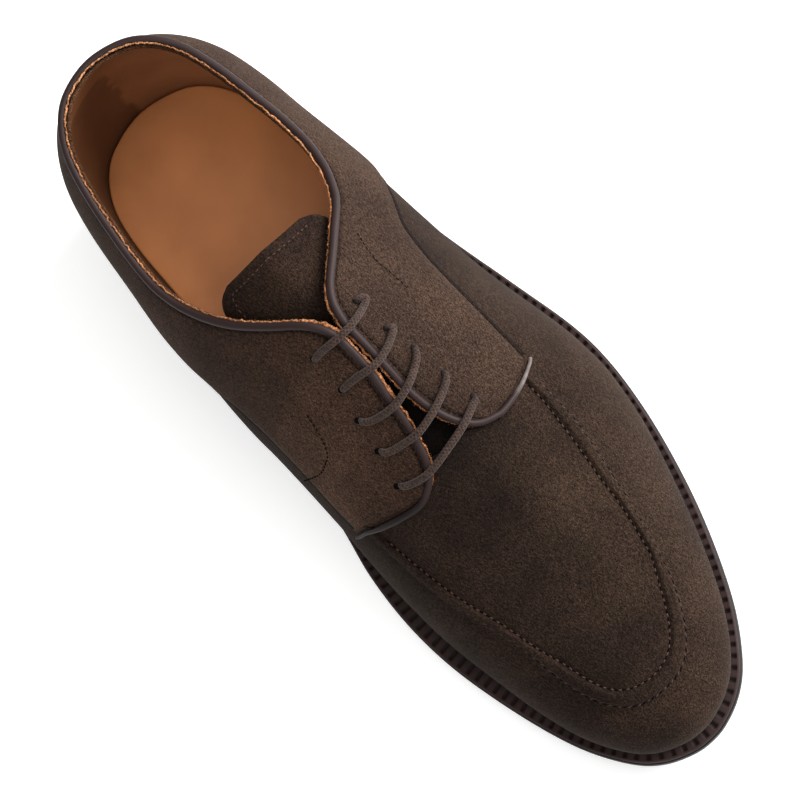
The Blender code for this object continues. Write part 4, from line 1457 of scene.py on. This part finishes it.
def welt_strip(side):
    """Points and painted shade over one side of the welt: a notched band next to the upper and a smooth rim.
    """
    length, width, out_l, out_w = on_curve(FEATHER[side], np.linspace(0, 1, WELT_RIBS))
    edge = on_curve(EDGE[side], nearest_share(side, length, width, out_l, out_w))
    room = (edge[0] - length) * out_l + (edge[1] - width) * out_w - WELT_INSET
    deep = notch(run_along(np.column_stack((length, width))), length)
    band = room - NOTCH_RIM
    top = sole_top(length) + GAP + WELT
    profile = (
        (-WELT_UNDER, top - WELT),
        (-WELT_UNDER, top),
        (-0.6, top),
        (0.1, top + 0.1),
        (0.35, top + 0.1 - deep),
        (band * 0.75, top - deep),
        (band * 0.9, top + 0.05 - deep * 0.35),
        (band, top + 0.12),
        (room - 0.35, top + 0.05),
        (room, top - 0.35),
        (room, top - WELT + 0.3),
        (room - 0.2, top - WELT),
    )
    points = np.array([(length + out_l * out, width + out_w * out, z) for out, z in profile])
    rows = np.arange(len(profile))
    # Painted shade in the notches and next to the upper
    shade = NOTCH_SHADE * deep[:, None] / NOTCH_DEPTH * np.isin(rows, NOTCH_ROWS)
    return points.transpose(2, 0, 1), shade + FEATHER_SHADE * np.isin(rows, FEATHER_ROWS)


def nearest_share(side, length, width, out_l, out_w):
    """Share of the sole's edge straight out from points of the feather line."""
    share, edge_l, edge_w = EDGE[side][:, :3].T
    best = []
    for l, w, a, b in zip(length, width, out_l, out_w):
        across = np.abs((edge_l - l) * b - (edge_w - w) * a)
        ahead = (edge_l - l) * a + (edge_w - w) * b
        cost = across + BEHIND_COST * (ahead < 0) + np.maximum(ahead - WELT_REACH, 0)
        best.append(share[np.argmin(cost)])
    return np.maximum.accumulate(np.array(best))


def make_welt():
    strips = [welt_strip(side) for side in SIDES]
    ring, shade = (np.vstack((lateral, medial[-2::-1])) for lateral, medial in zip(*strips))
    faces = grid_faces(*ring.shape[:2], around=True)
    make("welt_strip", (ring.reshape(-1, 3), faces), [WELT_LOOK], None, {"dark": shade}, ["welt"])


# Sole: inset and height of each level of the outsole and the insole, and share of the height of the heel
OUTSOLE_SIDE = (
    (1.2, 0.0),
    (0.5, 0.25),
    (0.15, 0.9),
    (0.0, 2.2),
    (0.0, 3.6),
    (0.12, 4.8),
    (0.35, 5.35),
    (0.8, 5.5),
)
INSOLE_RIM = ((2.2, 0.0), (1.6, 4.4), (2.4, 4.6), (8.0, 4.1), (14.0, 3.8))
HEEL_SIDE = ((3.4, 0.0), (3.05, 0.25), (2.75, 0.5), (2.1, 0.8), (1.6, 1.0))
TOP_PIECE_SIDE = ((3.8, 0.0), (3.4, TOP_PIECE))
SOLE_RIBS, INSOLE_RIBS, HEEL_RIBS = 320, 220, 90


def stacked(layers):
    """Points and faces of a closed solid of stacked outlines, each its lateral and its medial edge."""
    loops = [np.vstack((lateral, medial[::-1])) for lateral, medial in layers]
    count = len(loops[0])
    faces = grid_faces(len(loops), count, around=True)
    for k in (0, len(loops) - 1):
        for i in range(count // 2 - 1):
            faces.append([k * count + v for v in (i, i + 1, count - 2 - i, count - 1 - i)])
    return np.vstack(loops), faces


def over(base, up):
    """Height above a base that changes along the shoe."""
    return lambda length: base(length) + up


def heel_level(share):
    """Height at a share of the way from the top piece up to the outsole."""
    low = TOP_PIECE + GAP
    return lambda length: low + (underside(length) - GAP - low) * share


def heel_layer(inset, height):
    """Outline of the heel from its breast to the back."""
    start = {side: np.interp(-HEEL_BREAST, -EDGE[side][:, 1], EDGE[side][:, 0]) for side in SIDES}
    return plan_rows(EDGE, even_shares(HEEL_RIBS, start), inset, height)


def make_sole():
    shares = even_shares(SOLE_RIBS)
    outsole = [plan_rows(EDGE, shares, inset, over(underside, up)) for inset, up in OUTSOLE_SIDE]
    heel = [heel_layer(inset, heel_level(share)) for inset, share in HEEL_SIDE]
    top_piece = [heel_layer(inset, over(np.zeros_like, up)) for inset, up in TOP_PIECE_SIDE]
    make("outsole_edge", stacked(outsole), [SOLE_LOOK], replaces=["outsole"])
    make("heel_stack", stacked(heel), [HEEL_LOOK], replaces=["heel"])
    make("top_piece", stacked(top_piece), [RUBBER_LOOK], replaces=["heel_top_piece"])


def make_insole():
    shares = even_shares(INSOLE_RIBS)
    layers = [plan_rows(FEATHER, shares, inset, over(sole_top, GAP + up)) for inset, up in INSOLE_RIM]
    make("insole_leather", stacked(layers), [INSOLE_LOOK], replaces=["insole"])


# Camera, floor and light
EYE = (395.634, 14.568, 831.0)
AIM = (150.82, -0.56, 45.0)
PHOTO_RIGHT = (0.64801, 0.73244, -0.20886)
FOCAL = 2500.0
PICTURE = 800.0
SENSOR = 36.0
NEAR_CLIP = 0.01
FLOOR_REACH, FLOOR_SINK, FLOOR_GLOW = 8.0, 0.0002, 0.38
SKY, SKY_STRENGTH = (1.0, 0.985, 0.965, 1.0), 0.32
LIT_SPOT = (0.0, 0.0, 0.04)

# Soft boxes: place in metres, size and power
LIGHTS = {
    "key": ((1.25, -0.15, 0.75), 1.0, 49.0),
    "top": ((0.45, -0.2, 1.7), 1.4, 12.0),
    "fill": ((-0.7, -0.7, 1.2), 1.2, 9.0),
}


def direction(along):
    """Direction of the shoe, as length, width and height, in the frame."""
    return np.array((along[1], -along[0], along[2]))


def make_camera():
    data = bpy.data.cameras.new("camera")
    data.sensor_width = SENSOR
    data.lens = SENSOR * FOCAL / PICTURE
    data.clip_start = NEAR_CLIP
    camera = bpy.data.objects.new("camera", data)
    bpy.context.scene.collection.objects.link(camera)
    forward = unit(direction(np.subtract(AIM, EYE)))
    right = direction(PHOTO_RIGHT)
    right = unit(right - forward * (right @ forward))
    axes = np.column_stack((right, np.cross(right, forward), -forward, to_scene(EYE)[0]))
    camera.matrix_world = Matrix(np.vstack((axes, (0.0, 0.0, 0.0, 1.0))).tolist())
    bpy.context.scene.camera = camera


def soft_light(name, place, size, power):
    """Square soft box aimed at the shoe."""
    data = bpy.data.lights.new(name, "AREA")
    data.size = size
    data.energy = power
    lamp = bpy.data.objects.new(name, data)
    lamp.location = place
    away = Vector(place) - Vector(LIT_SPOT)
    lamp.rotation_euler = away.to_track_quat("Z", "Y").to_euler()
    bpy.context.scene.collection.objects.link(lamp)


def make_stage():
    look = Look("floor_white", (0.90, 0.90, 0.90), 0.9, 0.1, Emission_Strength=FLOOR_GLOW)
    look.fill(look.shader, Emission_Color=(1.0, 1.0, 1.0, 1.0))
    mesh = bpy.data.meshes.new("floor")
    corners = [(x * FLOOR_REACH, y * FLOOR_REACH, 0.0) for x, y in ((-1, -1), (1, -1), (1, 1), (-1, 1))]
    mesh.from_pydata(corners, [], [[0, 1, 2, 3]])
    mesh.materials.append(look.material)
    floor = bpy.data.objects.new("floor", mesh)
    floor.location.z = -FLOOR_SINK
    bpy.context.scene.collection.objects.link(floor)
    world = bpy.data.worlds.new("studio")
    world.use_nodes = True
    background = world.node_tree.nodes["Background"]
    background.inputs[0].default_value = SKY
    background.inputs[1].default_value = SKY_STRENGTH
    bpy.context.scene.world = world
    for name, settings in LIGHTS.items():
        soft_light(name, *settings)
    bpy.context.scene.view_settings.view_transform = "Standard"


make_camera()
make_stage()
make_sole()
make_welt()
make_insole()
make_upper()
for quarter_side in SIDES:
    make_quarter(quarter_side)
make_binding()
make_lining_edge()
make_tongue()
make_laces()
make_eyelets()
make_apron_stitches()
make_quarter_stitches()
make_tongue_stitches()
